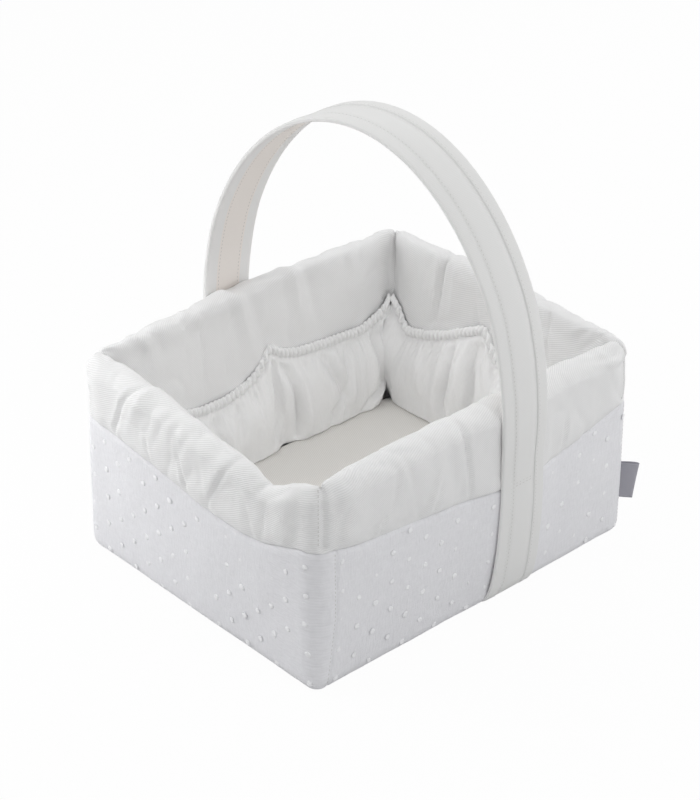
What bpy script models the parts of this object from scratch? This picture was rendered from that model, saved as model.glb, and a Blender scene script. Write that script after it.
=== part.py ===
"""A layette basket: a soft, padded nursery basket with a stiffened carrying strap.

Four padded walls and a padded base are sewn into an open box. A smooth lining covers the
inside, rolls over the rim and is sewn to the dotted outer fabric in a seam under the cuff.
Gathered pockets with elastic hems line all four walls. A covered board lies loose on the
floor. One strap goes right round the basket: flat under the base and up both long walls,
and then, stiffened by a core, over the top as the handle.

Metres, +Z up. The origin is on the table, under the middle of the base. The long walls run
along X. The front is at -Y.
"""

import math

import bmesh
import bpy
from mathutils import Matrix, Vector

# Overall sizes of the basket body
BASKET_LENGTH = 0.320
BASKET_WIDTH = 0.262
RIM_HEIGHT = 0.171
CORNER_RADIUS = 0.018
CLEARANCE = 0.0003

# Wall section
WALL_THICKNESS = 0.012
WALL_BULGE_OUT = 0.007
WALL_BULGE_IN = 0.001
BULGE_HEIGHT = 0.110
RIM_CROWN = 0.005
ROLL_RISE = 0.013
CUFF_SEAM_HEIGHT = 0.120
CUFF_SEAM_DIP = 0.014

# Fabrics
SHELL_FABRIC = 0.0014
LINING_FABRIC = 0.0012
POCKET_FABRIC = 0.0008

# Base, from the table upwards
BASE_EDGE_INSET = 0.0015
BASE_PADDING_TOP = 0.0104
BASE_BOARD_THICKNESS = 0.002
FLOOR_LINING_THICKNESS = 0.0012

# Loose mat on the floor
MAT_INSET = 0.0215
MAT_HEIGHT = 0.0115
MAT_CORNER_RADIUS = 0.010
MAT_FABRIC = 0.0008
MAT_BOARD_THICKNESS = 0.002
MAT_EDGE_ROUNDING = 0.002

# Pockets
POCKET_END_INSET = 0.022
POCKET_TACK_HEIGHT = 0.118
SHORT_WALL_TACK_RISE = 0.006
POCKET_HEM_SAG = 0.024
POCKET_MOUTH = 0.0045
POCKET_HEM_HEIGHT = 0.007
POCKET_GATHER_DEPTH = 0.0018
POCKET_OPEN_POWER = 0.7
POCKET_BELLY_SHARES = ((0.6, 0.07), (1.0, 0.25), (1.0, 0.6))
POCKETS_PER_WALL = 2
GATHERS_PER_POCKET = 4
COLUMNS_PER_GATHER = 4
ELASTIC_THICKNESS = 0.0008
ELASTIC_WIDTH = 0.0045

# Strap
STRAP_WIDTH = 0.050
STRAP_FRONT_X = 0.032
STRAP_BACK_X = -0.008
BINDING_WIDTH = 0.012
BINDING_FABRIC = 0.0005
LOWER_WEB = 0.0012
STRAP_TURN_RADIUS = 0.0035
STRAP_TABLE_GAP = 0.0003
TACK_HEIGHT = 0.105
LAP_ABOVE_TACK = 0.006
LAP_BELOW_TACK = 0.002
LAP_GAP = 0.0009

# Handle
HANDLE_TOP = 0.361
HANDLE_SPAN = 0.294
HANDLE_SPRING_HEIGHT = 0.145
HANDLE_CORE = 0.001
HANDLE_FABRIC = 0.0006
ARCH_STEPS = 26
LEG_STEPS = 4

# Label in the right front corner seam
LABEL_HEIGHT = 0.032
LABEL_LENGTH = 0.015
LABEL_FABRIC = 0.0005
LABEL_FOLD_GAP = 0.0004
LABEL_BOTTOM = 0.030

# Sampling of curved shapes
CORNER_STEPS = 2
STRAIGHT_STEPS = 10
ROLL_STEPS = 6
OUTLINE_CORNER_STEPS = 5
SHARP_ANGLE = math.radians(50)
OVERRUN = 0.010

HALF_LENGTH = BASKET_LENGTH / 2
HALF_WIDTH = BASKET_WIDTH / 2
LOWER_STRAP = LOWER_WEB + 2 * (CLEARANCE + BINDING_FABRIC)
HANDLE_SANDWICH = HANDLE_CORE + 2 * (CLEARANCE + HANDLE_FABRIC)
HANDLE_THICKNESS = HANDLE_SANDWICH + 2 * (CLEARANCE + BINDING_FABRIC)
CHANNEL_ROOF = STRAP_TABLE_GAP + LOWER_STRAP + CLEARANCE
WALL_BOTTOM = SHELL_FABRIC + CLEARANCE
BASE_BOARD_BOTTOM = BASE_PADDING_TOP + CLEARANCE
FLOOR_BOTTOM = BASE_BOARD_BOTTOM + BASE_BOARD_THICKNESS + CLEARANCE
FLOOR_TOP = FLOOR_BOTTOM + FLOOR_LINING_THICKNESS
LINING_BOTTOM = FLOOR_TOP + CLEARANCE
PADDING_DEPTH = SHELL_FABRIC + CLEARANCE
BASE_CORE_INSET = WALL_THICKNESS - LINING_FABRIC - CLEARANCE / 2

# Each wall: name, half its length, its distance from the middle, its turn about Z
WALLS = (
    ("front", HALF_LENGTH, HALF_WIDTH, 0.0),
    ("right", HALF_WIDTH, HALF_LENGTH, math.pi / 2),
    ("back", HALF_LENGTH, HALF_WIDTH, math.pi),
    ("left", HALF_WIDTH, HALF_LENGTH, -math.pi / 2),
)
LONG_WALLS = ("front", "back")

MATERIALS = {
    "dotted_cotton": ((0.78, 0.79, 0.82), 0.90),
    "cuff_cotton": ((0.86, 0.86, 0.85), 0.85),
    "pocket_gauze": ((0.87, 0.87, 0.85), 0.92),
    "strap_cotton": ((0.80, 0.80, 0.79), 0.85),
    "mat_cotton": ((0.70, 0.69, 0.66), 0.90),
    "label_satin": ((0.45, 0.46, 0.50), 0.45),
    "wadding": ((0.90, 0.90, 0.88), 0.95),
    "board": ((0.62, 0.60, 0.56), 0.70),
    "elastic": ((0.85, 0.85, 0.83), 0.80),
}


def material(name):
    """The named fabric or board as a Principled surface."""
    found = bpy.data.materials.get(name)
    if found:
        return found
    colour, roughness = MATERIALS[name]
    made = bpy.data.materials.new(name)
    made.use_nodes = True
    surface = made.node_tree.nodes["Principled BSDF"]
    surface.inputs["Base Color"].default_value = (*colour, 1.0)
    surface.inputs["Roughness"].default_value = roughness
    surface.inputs["Metallic"].default_value = 0.0
    made.diffuse_color = (*colour, 1.0)
    return made


def finish(name, bm, material_name):
    """Turns a bmesh into a named, smooth-shaded object whose faces point out."""
    bmesh.ops.recalc_face_normals(bm, faces=bm.faces)
    mesh = bpy.data.meshes.new(name)
    bm.to_mesh(mesh)
    bm.free()
    mesh.shade_smooth()
    mesh.set_sharp_from_angle(angle=SHARP_ANGLE)
    made = bpy.data.objects.new(name, mesh)
    made.data.materials.append(material(material_name))
    bpy.context.scene.collection.objects.link(made)
    return made


def carry(name, place, pieces):
    """An empty at place, on the line along which or about which its pieces move together."""
    pivot = bpy.data.objects.new(name, None)
    pivot.empty_display_size = STRAP_WIDTH
    pivot.matrix_world = place
    bpy.context.scene.collection.objects.link(pivot)
    for piece in pieces:
        piece.parent = pivot
        piece.matrix_parent_inverse = place.inverted()


def cut(target, cutter, operation="DIFFERENCE"):
    """Cuts target with a helper that stays in the file but is never part of the object."""
    cutter.hide_render = True
    cutter.display_type = "WIRE"
    modifier = target.modifiers.new(cutter.name, "BOOLEAN")
    modifier.operation = operation
    modifier.solver = "EXACT"
    modifier.object = cutter


# Lofts


def loft(name, loops, material_name):
    """A closed solid through closed loops of equal length, with a cap on each end."""
    bm = bmesh.new()
    rings = [[bm.verts.new(point) for point in loop] for loop in loops]
    for first, second in zip(rings, rings[1:]):
        count = len(first)
        for i in range(count):
            j = (i + 1) % count
            bm.faces.new((first[i], first[j], second[j], second[i]))
    bm.faces.new(rings[0])
    bm.faces.new(list(reversed(rings[-1])))
    return finish(name, bm, material_name)


def sheet(name, front, back, material_name):
    """A closed sheet between two grids of points, front[column][row] and back[column][row]."""
    bm = bmesh.new()
    sides = [[[bm.verts.new(point) for point in column] for column in grid] for grid in (front, back)]
    columns, rows = len(front), len(front[0])
    for grid in sides:
        for c in range(columns - 1):
            for r in range(rows - 1):
                bm.faces.new((grid[c][r], grid[c + 1][r], grid[c + 1][r + 1], grid[c][r + 1]))
    one, two = sides
    for r in (0, rows - 1):
        for c in range(columns - 1):
            bm.faces.new((one[c][r], one[c + 1][r], two[c + 1][r], two[c][r]))
    for c in (0, columns - 1):
        for r in range(rows - 1):
            bm.faces.new((one[c][r], one[c][r + 1], two[c][r + 1], two[c][r]))
    return finish(name, bm, material_name)


def prism(name, outline, bottom, top, material_name):
    """An outline in X and Y, extruded from bottom to top."""
    bm = bmesh.new()
    face = bm.faces.new([bm.verts.new((x, y, bottom)) for x, y in outline])
    lifted = bmesh.ops.extrude_face_region(bm, geom=[face])
    new = [v for v in lifted["geom"] if isinstance(v, bmesh.types.BMVert)]
    bmesh.ops.translate(bm, verts=new, vec=(0, 0, top - bottom))
    return finish(name, bm, material_name)


def rounded_rectangle(half_x, half_y, radius):
    """The outline of a rounded rectangle, counter-clockwise."""
    points = []
    for turn, (sx, sy) in enumerate(((1, 1), (-1, 1), (-1, -1), (1, -1))):
        centre = Vector((sx * (half_x - radius), sy * (half_y - radius)))
        for step in range(OUTLINE_CORNER_STEPS + 1):
            angle = math.pi / 2 * (turn + step / OUTLINE_CORNER_STEPS)
            points.append(centre + radius * Vector((math.cos(angle), math.sin(angle))))
    return points


def offset_line(line, distance):
    """A line in (outward, up) coordinates, moved sideways by distance, to its left."""
    moved = []
    for i, point in enumerate(line):
        before, after = line[max(i - 1, 0)], line[min(i + 1, len(line) - 1)]
        along = (Vector(after) - Vector(before)).normalized()
        moved.append(Vector(point) + distance * Vector((-along.y, along.x)))
    return moved


# Walls


def columns():
    """Places along a wall: (share of the straight run, angle round the corner)."""
    corner = [math.pi / 4 * (i + 1) / CORNER_STEPS for i in range(CORNER_STEPS)]
    straight = [-1 + 2 * i / STRAIGHT_STEPS for i in range(STRAIGHT_STEPS + 1)]
    ends = [(-1.0, -a) for a in reversed(corner)]
    return ends + [(s, 0.0) for s in straight] + [(1.0, a) for a in corner]


def wall_point(wall, column, outward, height):
    """A point on a wall. outward is measured from the nominal outer face."""
    _, half_run, distance, turn = wall
    share, angle = column
    x = share * (half_run - CORNER_RADIUS)
    y = -(distance + outward)
    if angle:
        radius = CORNER_RADIUS + outward
        x += radius * math.sin(angle)
        y = -(distance - CORNER_RADIUS + radius * math.cos(angle))
    if abs(angle) > math.pi / 4 - math.radians(1):
        x -= math.copysign(CLEARANCE / 2, angle) * math.cos(angle)
        y -= CLEARANCE / 2 * abs(math.sin(angle))
    return Matrix.Rotation(turn, 3, "Z") @ Vector((x, y, height))


def fullness(column):
    """How far a padded wall swells here: 1 in its middle, 0 at its corners."""
    share, angle = column
    return 0.0 if angle else 1.0 - share * share


def outer_face(column, height):
    """How far the outer face stands out from the nominal face."""
    rise = math.sin(math.pi / 2 * min(1.0, height / BULGE_HEIGHT))
    return WALL_BULGE_OUT * fullness(column) * rise


def inner_face(column, height):
    """The inner face, as a negative outward distance."""
    run = RIM_HEIGHT - ROLL_RISE - LINING_BOTTOM
    rise = math.sin(math.pi / 2 * min(1.0, max(0.0, (height - LINING_BOTTOM) / run)))
    return -(WALL_THICKNESS + WALL_BULGE_IN * fullness(column) * rise)


def seam_height(column):
    """Height of the seam under the cuff. It dips in the middle of each wall."""
    return CUFF_SEAM_HEIGHT - CUFF_SEAM_DIP * fullness(column)


def steps(first, last, count):
    """count + 1 evenly spaced values."""
    return [first + (last - first) * i / count for i in range(count + 1)]


def rolled_rim(column):
    """The half round of the rim, from the outer shoulder over the crest to the inner one."""
    shoulder = RIM_HEIGHT + RIM_CROWN * fullness(column) - ROLL_RISE
    outer, inner = outer_face(column, shoulder), inner_face(column, shoulder)
    line = []
    for angle in steps(0.0, math.pi, ROLL_STEPS):
        across = (outer + inner) / 2 + (outer - inner) / 2 * math.cos(angle)
        line.append((across, shoulder + ROLL_RISE * math.sin(angle)))
    return line


def panel_line(column, bottom, top, count):
    """A run up the outer face."""
    return [(outer_face(column, z), z) for z in steps(bottom, top, count)]


def lining_line(column, start, inner_steps=4, cuff_steps=2):
    """From start on the outer face, up over the rim and down the inside to the floor."""
    roll = rolled_rim(column)
    cuff = panel_line(column, start, roll[0][1], cuff_steps)[:-1]
    inside = [(inner_face(column, z), z) for z in steps(roll[-1][1], LINING_BOTTOM, inner_steps)]
    return cuff + roll + inside[1:]


def wall_sheet(name, wall, line_of, thickness, material_name):
    """A fabric that follows line_of in every column and lies inside it by its thickness."""
    outside, inside = [], []
    for column in columns():
        line = line_of(column)
        outside.append([wall_point(wall, column, *p) for p in line])
        inside.append([wall_point(wall, column, *p) for p in offset_line(line, thickness)])
    return sheet(name, outside, inside, material_name)


def outer_panel(wall):
    """The dotted fabric of one wall, from the base up to the seam under the cuff."""

    def line(column):
        return panel_line(column, WALL_BOTTOM, seam_height(column), 5)

    return wall_sheet("outer_panel_" + wall[0], wall, line, SHELL_FABRIC, "dotted_cotton")


def lining_panel(wall):
    """The smooth fabric of one wall: cuff, rolled rim and inner face in one piece."""

    def line(column):
        return lining_line(column, seam_height(column) + CLEARANCE)

    return wall_sheet("lining_" + wall[0], wall, line, LINING_FABRIC, "cuff_cotton")


def wall_padding(wall):
    """The foam of one wall. It fills the space between its two fabrics."""
    loops = []
    for column in columns():
        line = lining_line(column, WALL_BOTTOM, inner_steps=4, cuff_steps=7)
        low = (inner_face(column, LINING_BOTTOM), WALL_BOTTOM)
        inside = offset_line(line + [low], PADDING_DEPTH)
        loops.append([wall_point(wall, column, *p) for p in inside])
    return loft("wall_padding_" + wall[0], loops, "wadding")


# Pockets


def pocket_lines(wall, along):
    """(sheet line, elastic centre) of a wall's pockets at this distance along the wall."""
    _, half_run, _, _ = wall
    end = half_run - POCKET_END_INSET
    pocket_run = 2 * end / POCKETS_PER_WALL
    share = ((along + end) / pocket_run) % 1.0
    column = (along / (half_run - CORNER_RADIUS), 0.0)
    open_share = math.sin(math.pi * share) ** POCKET_OPEN_POWER
    tack = POCKET_TACK_HEIGHT + (0.0 if wall[0] in LONG_WALLS else SHORT_WALL_TACK_RISE)
    top = tack - POCKET_HEM_SAG * open_share
    hem_gap = POCKET_FABRIC + ELASTIC_THICKNESS + 2 * CLEARANCE
    wall_side = inner_face(column, top) - CLEARANCE - POCKET_FABRIC / 2 - POCKET_MOUTH * open_share
    room_side = wall_side - hem_gap
    fold = hem_gap / 2
    stitch = top - POCKET_HEM_HEIGHT
    gather = 0.5 - 0.5 * math.cos(2 * math.pi * GATHERS_PER_POCKET * share)
    belly = -(MAT_INSET - 2 * CLEARANCE - POCKET_FABRIC / 2)
    deep = room_side + (belly - room_side) * open_share + POCKET_GATHER_DEPTH * gather * open_share
    seam = inner_face(column, LINING_BOTTOM) - CLEARANCE - POCKET_FABRIC / 2
    bottom = LINING_BOTTOM + POCKET_FABRIC / 2
    rise = stitch - bottom
    belly_line = [(seam + (deep - seam) * a, bottom + rise * b) for a, b in POCKET_BELLY_SHARES]
    line = [(seam, bottom)] + belly_line + [
        (room_side, stitch),
        (room_side, top - fold),
        (room_side + fold, top),
        (wall_side, top - fold),
        (wall_side, stitch),
    ]
    return line, (room_side + fold, top - fold - ELASTIC_WIDTH / 2)


def pocket_places(wall):
    """Distances along a wall at which its pocket strip is drawn."""
    end = wall[1] - POCKET_END_INSET
    return steps(-end, end, POCKETS_PER_WALL * GATHERS_PER_POCKET * COLUMNS_PER_GATHER)


def straight_point(wall, along, outward, height):
    """A point beside the straight run of a wall."""
    _, _, distance, turn = wall
    return Matrix.Rotation(turn, 3, "Z") @ Vector((along, -(distance + outward), height))


def pocket_strip(wall):
    """A gathered strip with its hem folded over the elastic, tacked at both ends and midway."""
    room, hidden = [], []
    for along in pocket_places(wall):
        line, _ = pocket_lines(wall, along)
        for grid, side in ((room, -1), (hidden, 1)):
            moved = offset_line(line, side * POCKET_FABRIC / 2)
            grid.append([straight_point(wall, along, *p) for p in moved])
    return sheet("pocket_" + wall[0], room, hidden, "pocket_gauze")


def pocket_elastic(wall):
    """The flat elastic that lies in the fold of the hem."""
    loops = []
    for along in pocket_places(wall):
        _, (across, up) = pocket_lines(wall, along)
        corners = ((-1, -1), (1, -1), (1, 1), (-1, 1))
        loop = [
            straight_point(wall, along, across + a * ELASTIC_THICKNESS / 2, up + b * ELASTIC_WIDTH / 2)
            for a, b in corners
        ]
        loops.append(loop)
    return loft("pocket_elastic_" + wall[0], loops, "elastic")


# Strap


def strap_x(y):
    """Middle of the strap at this y. It crosses the basket a little askew."""
    share = (y + HALF_WIDTH) / BASKET_WIDTH
    return STRAP_FRONT_X + (STRAP_BACK_X - STRAP_FRONT_X) * share


def strap_points(path, profile):
    """Loops of a profile (across, outward) swept along a path of (y, z)."""
    loops = []
    for i, (y, z) in enumerate(path):
        before, after = path[max(i - 1, 0)], path[min(i + 1, len(path) - 1)]
        along = (Vector(after) - Vector(before)).normalized()
        outward = Vector((along.y, -along.x))
        middle = strap_x(max(-HALF_WIDTH, min(HALF_WIDTH, y)))
        loop = [Vector((middle + a, y + b * outward.x, z + b * outward.y)) for a, b in profile]
        loops.append(loop)
    return loops


def lower_path():
    """Middle of the strap's thickness, from the front tack under the base to the back tack."""
    half = LOWER_STRAP / 2
    column = (0.0, 0.0)
    face = HALF_WIDTH + CLEARANCE + half
    turn_z = STRAP_TABLE_GAP + half + STRAP_TURN_RADIUS
    wall = [(face + outer_face(column, z), z) for z in steps(TACK_HEIGHT + LAP_ABOVE_TACK, turn_z, 6)]
    turn = []
    for angle in steps(0.0, math.pi / 2, 4)[1:]:
        y = face - STRAP_TURN_RADIUS + STRAP_TURN_RADIUS * math.cos(angle)
        turn.append((y, turn_z - STRAP_TURN_RADIUS * math.sin(angle)))
    half_path = wall + turn
    front = [(-y, z) for y, z in half_path]
    return front + list(reversed(half_path))


def tack_reach():
    """How far the middle of the handle's thickness lies from the basket's middle at its tacks."""
    lower_outside = HALF_WIDTH + WALL_BULGE_OUT + CLEARANCE + LOWER_STRAP
    return lower_outside + LAP_GAP + HANDLE_THICKNESS / 2


def handle_path():
    """Middle of the handle's thickness, from the back lap over the top to the front lap."""
    reach, widest = tack_reach(), HANDLE_SPAN / 2
    lap_top = TACK_HEIGHT + LAP_ABOVE_TACK
    leg = [(reach, TACK_HEIGHT - LAP_BELOW_TACK)]
    lean_bottom, spring = lap_top, HANDLE_SPRING_HEIGHT
    if widest < reach:
        # The legs of an arch narrower than the basket stand up past the rim before they lean in
        leg.append((reach, lap_top))
        lean_bottom = RIM_HEIGHT + RIM_CROWN
        spring = lean_bottom + reach - widest
    for share in steps(0.0, 1.0, LEG_STEPS):
        lean = 0.5 - 0.5 * math.cos(math.pi * share)
        leg.append((reach + (widest - reach) * lean, lean_bottom + (spring - lean_bottom) * share))
    rise = HANDLE_TOP - HANDLE_THICKNESS / 2 - spring
    arch = []
    for angle in steps(0.0, math.pi, ARCH_STEPS)[1:-1]:
        arch.append((widest * math.cos(angle), spring + rise * math.sin(angle)))
    return leg + arch + [(-y, z) for y, z in reversed(leg)]


def flat_profile(width, low, high):
    """A flat band's section."""
    half = width / 2
    return [(-half, low), (half, low), (half, high), (-half, high)]


def binding_profile(side, inside):
    """A folded binding round one edge of a band that is inside thick. side is -1 or 1."""
    edge = STRAP_WIDTH / 2
    lip = edge - BINDING_WIDTH
    outer = inside / 2 + CLEARANCE + BINDING_FABRIC
    inner = outer - BINDING_FABRIC
    round_off = BINDING_FABRIC
    points = [
        (lip, -outer),
        (edge - round_off, -outer),
        (edge, -outer + round_off),
        (edge, outer - round_off),
        (edge - round_off, outer),
        (lip, outer),
        (lip, inner),
        (edge - BINDING_FABRIC, inner),
        (edge - BINDING_FABRIC, -inner),
        (lip, -inner),
    ]
    return [(side * a, b) for a, b in points]


def lower_strap():
    """The unstiffened run of the strap: a web whose two edges are bound."""
    path = lower_path()
    web_width = STRAP_WIDTH - 2 * (BINDING_FABRIC + CLEARANCE)
    web = flat_profile(web_width, -LOWER_WEB / 2, LOWER_WEB / 2)
    loft("lower_strap_web", strap_points(path, web), "strap_cotton")
    for name, side in (("left", -1), ("right", 1)):
        loops = strap_points(path, binding_profile(side, LOWER_WEB))
        loft("lower_strap_binding_" + name, loops, "strap_cotton")


def handle():
    """The stiffened arch: a core between two fabrics, with a binding round each edge."""
    path = handle_path()
    width = STRAP_WIDTH - 2 * (BINDING_FABRIC + CLEARANCE)
    half_core = HANDLE_CORE / 2
    skin = half_core + CLEARANCE
    core = loft("handle_core", strap_points(path, flat_profile(width, -half_core, half_core)), "board")
    outside = flat_profile(width, skin, skin + HANDLE_FABRIC)
    face = loft("handle_face", strap_points(path, outside), "strap_cotton")
    inside = flat_profile(width, -skin - HANDLE_FABRIC, -skin)
    lining = loft("handle_lining", strap_points(path, inside), "strap_cotton")
    pieces = [core, face, lining]
    for name, side in (("left", -1), ("right", 1)):
        loops = strap_points(path, binding_profile(side, HANDLE_SANDWICH))
        pieces.append(loft("handle_binding_" + name, loops, "strap_cotton"))
    tilt = math.atan2(STRAP_FRONT_X - STRAP_BACK_X, 2 * tack_reach())
    middle = Vector(((STRAP_FRONT_X + STRAP_BACK_X) / 2, 0.0, TACK_HEIGHT))
    carry("handle_pivot", Matrix.Translation(middle) @ Matrix.Rotation(tilt, 4, "Z"), pieces)


# Base


def skewed_extrusion(name, profile, material_name):
    """A profile in (across, up), run from front to back along the strap's askew line."""
    reach = HALF_WIDTH + OVERRUN
    loops = [[(strap_x(y) + a, y, z) for a, z in profile] for y in (-reach, reach)]
    return loft(name, loops, material_name)


def channel_cutter(name, half_width, roof):
    """What the strap and the fabric over it take away from what stands on them."""
    profile = [(-half_width, -OVERRUN), (half_width, -OVERRUN), (half_width, roof), (-half_width, roof)]
    return skewed_extrusion(name, profile, "board")


def inset_outline(inset, radius=None):
    """The basket's plan, drawn in by inset."""
    corner = CORNER_RADIUS - inset if radius is None else radius
    return rounded_rectangle(HALF_LENGTH - inset, HALF_WIDTH - inset, corner)


def base_fabric():
    """The outer base: flat on the table, and lifted over the strap in a shallow channel."""
    channel = STRAP_WIDTH / 2 + CLEARANCE
    side = channel + SHELL_FABRIC
    far = HALF_LENGTH + OVERRUN - STRAP_BACK_X + STRAP_FRONT_X
    profile = [
        (-far, 0.0),
        (-channel, 0.0),
        (-channel, CHANNEL_ROOF),
        (channel, CHANNEL_ROOF),
        (channel, 0.0),
        (far, 0.0),
        (far, SHELL_FABRIC),
        (side, SHELL_FABRIC),
        (side, CHANNEL_ROOF + SHELL_FABRIC),
        (-side, CHANNEL_ROOF + SHELL_FABRIC),
        (-side, SHELL_FABRIC),
        (-far, SHELL_FABRIC),
    ]
    made = skewed_extrusion("outer_base", profile, "dotted_cotton")
    outline = inset_outline(BASE_EDGE_INSET)
    keep = prism("base_outline", outline, -OVERRUN, CHANNEL_ROOF + OVERRUN, "board")
    cut(made, keep, "INTERSECT")


def base_core(channel):
    """Padding, stiff board and floor lining inside the walls."""
    outline = inset_outline(BASE_CORE_INSET)
    padding = prism("base_padding", outline, WALL_BOTTOM, BASE_PADDING_TOP, "wadding")
    cut(padding, channel)
    board_top = BASE_BOARD_BOTTOM + BASE_BOARD_THICKNESS
    prism("base_board", outline, BASE_BOARD_BOTTOM, board_top, "board")
    prism("floor_lining", outline, FLOOR_BOTTOM, FLOOR_TOP, "cuff_cotton")


def floor_mat():
    """The loose mat: a sleeve, open at its right end, round a board and a layer of wadding."""
    half_x, half_y = HALF_LENGTH - MAT_INSET, HALF_WIDTH - MAT_INSET
    bottom = FLOOR_TOP + CLEARANCE
    top = bottom + MAT_HEIGHT
    outline = rounded_rectangle(half_x, half_y, MAT_CORNER_RADIUS)
    cover = prism("mat_cover", outline, bottom, top, "mat_cotton")
    bevel = cover.modifiers.new("soft edges", "BEVEL")
    bevel.width = MAT_EDGE_ROUNDING
    bevel.segments = 2
    bevel.limit_method = "ANGLE"
    bevel.angle_limit = SHARP_ANGLE
    hollow_y = half_y - MAT_FABRIC - MAT_EDGE_ROUNDING
    left_end = -half_x + MAT_FABRIC + MAT_EDGE_ROUNDING
    slot = [
        (left_end, -hollow_y),
        (half_x + OVERRUN, -hollow_y),
        (half_x + OVERRUN, hollow_y),
        (left_end, hollow_y),
    ]
    hollow = prism("mat_hollow", slot, bottom + MAT_FABRIC, top - MAT_FABRIC, "board")
    cut(cover, hollow)
    inner_y = hollow_y - CLEARANCE
    inner_left = left_end + CLEARANCE
    inner_right = half_x - MAT_EDGE_ROUNDING - MAT_CORNER_RADIUS / 2
    filling = [(inner_left, -inner_y), (inner_right, -inner_y), (inner_right, inner_y), (inner_left, inner_y)]
    board_bottom = bottom + MAT_FABRIC + CLEARANCE
    board_top = board_bottom + MAT_BOARD_THICKNESS
    board = prism("mat_board", filling, board_bottom, board_top, "board")
    soft_top = top - MAT_FABRIC - CLEARANCE
    wadding = prism("mat_wadding", filling, board_top + CLEARANCE, soft_top, "wadding")
    carry("mat_lift", Matrix.Translation((0.0, 0.0, bottom)), [cover, board, wadding])


def side_label():
    """A blank ribbon folded in two, sewn into the right front corner seam."""
    outer = LABEL_FABRIC + LABEL_FOLD_GAP / 2
    inner = LABEL_FOLD_GAP / 2
    inner_end = LABEL_LENGTH - LABEL_FABRIC
    profile = [
        (0.0, -outer),
        (inner_end, -outer),
        (LABEL_LENGTH, -inner),
        (LABEL_LENGTH, inner),
        (inner_end, outer),
        (0.0, outer),
        (0.0, inner),
        (inner_end, inner),
        (inner_end, -inner),
        (0.0, -inner),
    ]
    diagonal = Vector((1, -1)).normalized()
    sideways = Vector((1, 1)).normalized()
    corner = Vector((HALF_LENGTH - CORNER_RADIUS, -(HALF_WIDTH - CORNER_RADIUS)))
    root = corner + (CORNER_RADIUS + CLEARANCE) * diagonal
    outline = [root + a * diagonal + b * sideways for a, b in profile]
    prism("side_label", outline, LABEL_BOTTOM, LABEL_BOTTOM + LABEL_HEIGHT, "label_satin")


def build():
    """The whole basket."""
    for old in list(bpy.data.objects):
        bpy.data.objects.remove(old)
    roof = CHANNEL_ROOF + SHELL_FABRIC + CLEARANCE
    half_width = STRAP_WIDTH / 2 + SHELL_FABRIC + 2 * CLEARANCE
    channel = channel_cutter("strap_channel", half_width, roof)
    for wall in WALLS:
        panel = outer_panel(wall)
        padding = wall_padding(wall)
        lining_panel(wall)
        pocket_strip(wall)
        pocket_elastic(wall)
        if wall[0] in LONG_WALLS:
            cut(panel, channel)
            cut(padding, channel)
    base_fabric()
    base_core(channel)
    floor_mat()
    lower_strap()
    handle()
    side_label()


build()
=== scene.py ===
"""The layette basket's sewn fabrics, gathered pockets, strap and stitches over its frame, in metres."""

import math

import bpy
import numpy as np
from bpy.props import FloatProperty, PointerProperty, StringProperty
from mathutils import Matrix, Vector, noise


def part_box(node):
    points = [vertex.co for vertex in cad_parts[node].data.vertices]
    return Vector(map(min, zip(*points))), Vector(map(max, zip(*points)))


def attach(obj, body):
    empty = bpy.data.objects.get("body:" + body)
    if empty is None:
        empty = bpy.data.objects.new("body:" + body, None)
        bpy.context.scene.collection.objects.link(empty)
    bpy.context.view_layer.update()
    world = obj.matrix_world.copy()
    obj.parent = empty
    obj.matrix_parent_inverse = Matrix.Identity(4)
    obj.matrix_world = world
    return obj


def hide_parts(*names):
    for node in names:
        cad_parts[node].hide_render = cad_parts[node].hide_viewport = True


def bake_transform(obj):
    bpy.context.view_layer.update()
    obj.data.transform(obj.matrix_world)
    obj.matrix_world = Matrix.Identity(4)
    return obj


bl_info = {
    "name": "Layette basket",
    "version": (1, 0, 0),
    "blender": (4, 5, 0),
    "location": "View3D > Sidebar > Layette",
    "description": "Builds the padded layette basket piece by piece over its frame",
    "category": "Add Mesh",
}

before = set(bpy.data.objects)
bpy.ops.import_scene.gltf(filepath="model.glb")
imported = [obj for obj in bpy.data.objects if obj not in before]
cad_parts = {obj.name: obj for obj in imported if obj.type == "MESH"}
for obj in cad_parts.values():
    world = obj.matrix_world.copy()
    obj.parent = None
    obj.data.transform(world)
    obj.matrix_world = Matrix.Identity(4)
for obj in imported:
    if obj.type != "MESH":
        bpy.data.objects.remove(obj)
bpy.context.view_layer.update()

MM = 0.001
WALLS = ("front", "right", "back", "left")
DOT_SEED = 1


# Sizes and colours that a user would change


def metres(name, description, default):
    """A size that a user can change, in metres."""
    return FloatProperty(name=name, description=description, default=default, unit="LENGTH")


def cloth_colour(name, description, default):
    """A colour that a user can change."""
    return StringProperty(name=name, description=f"Colour of {description}, as hex", default=default)


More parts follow.
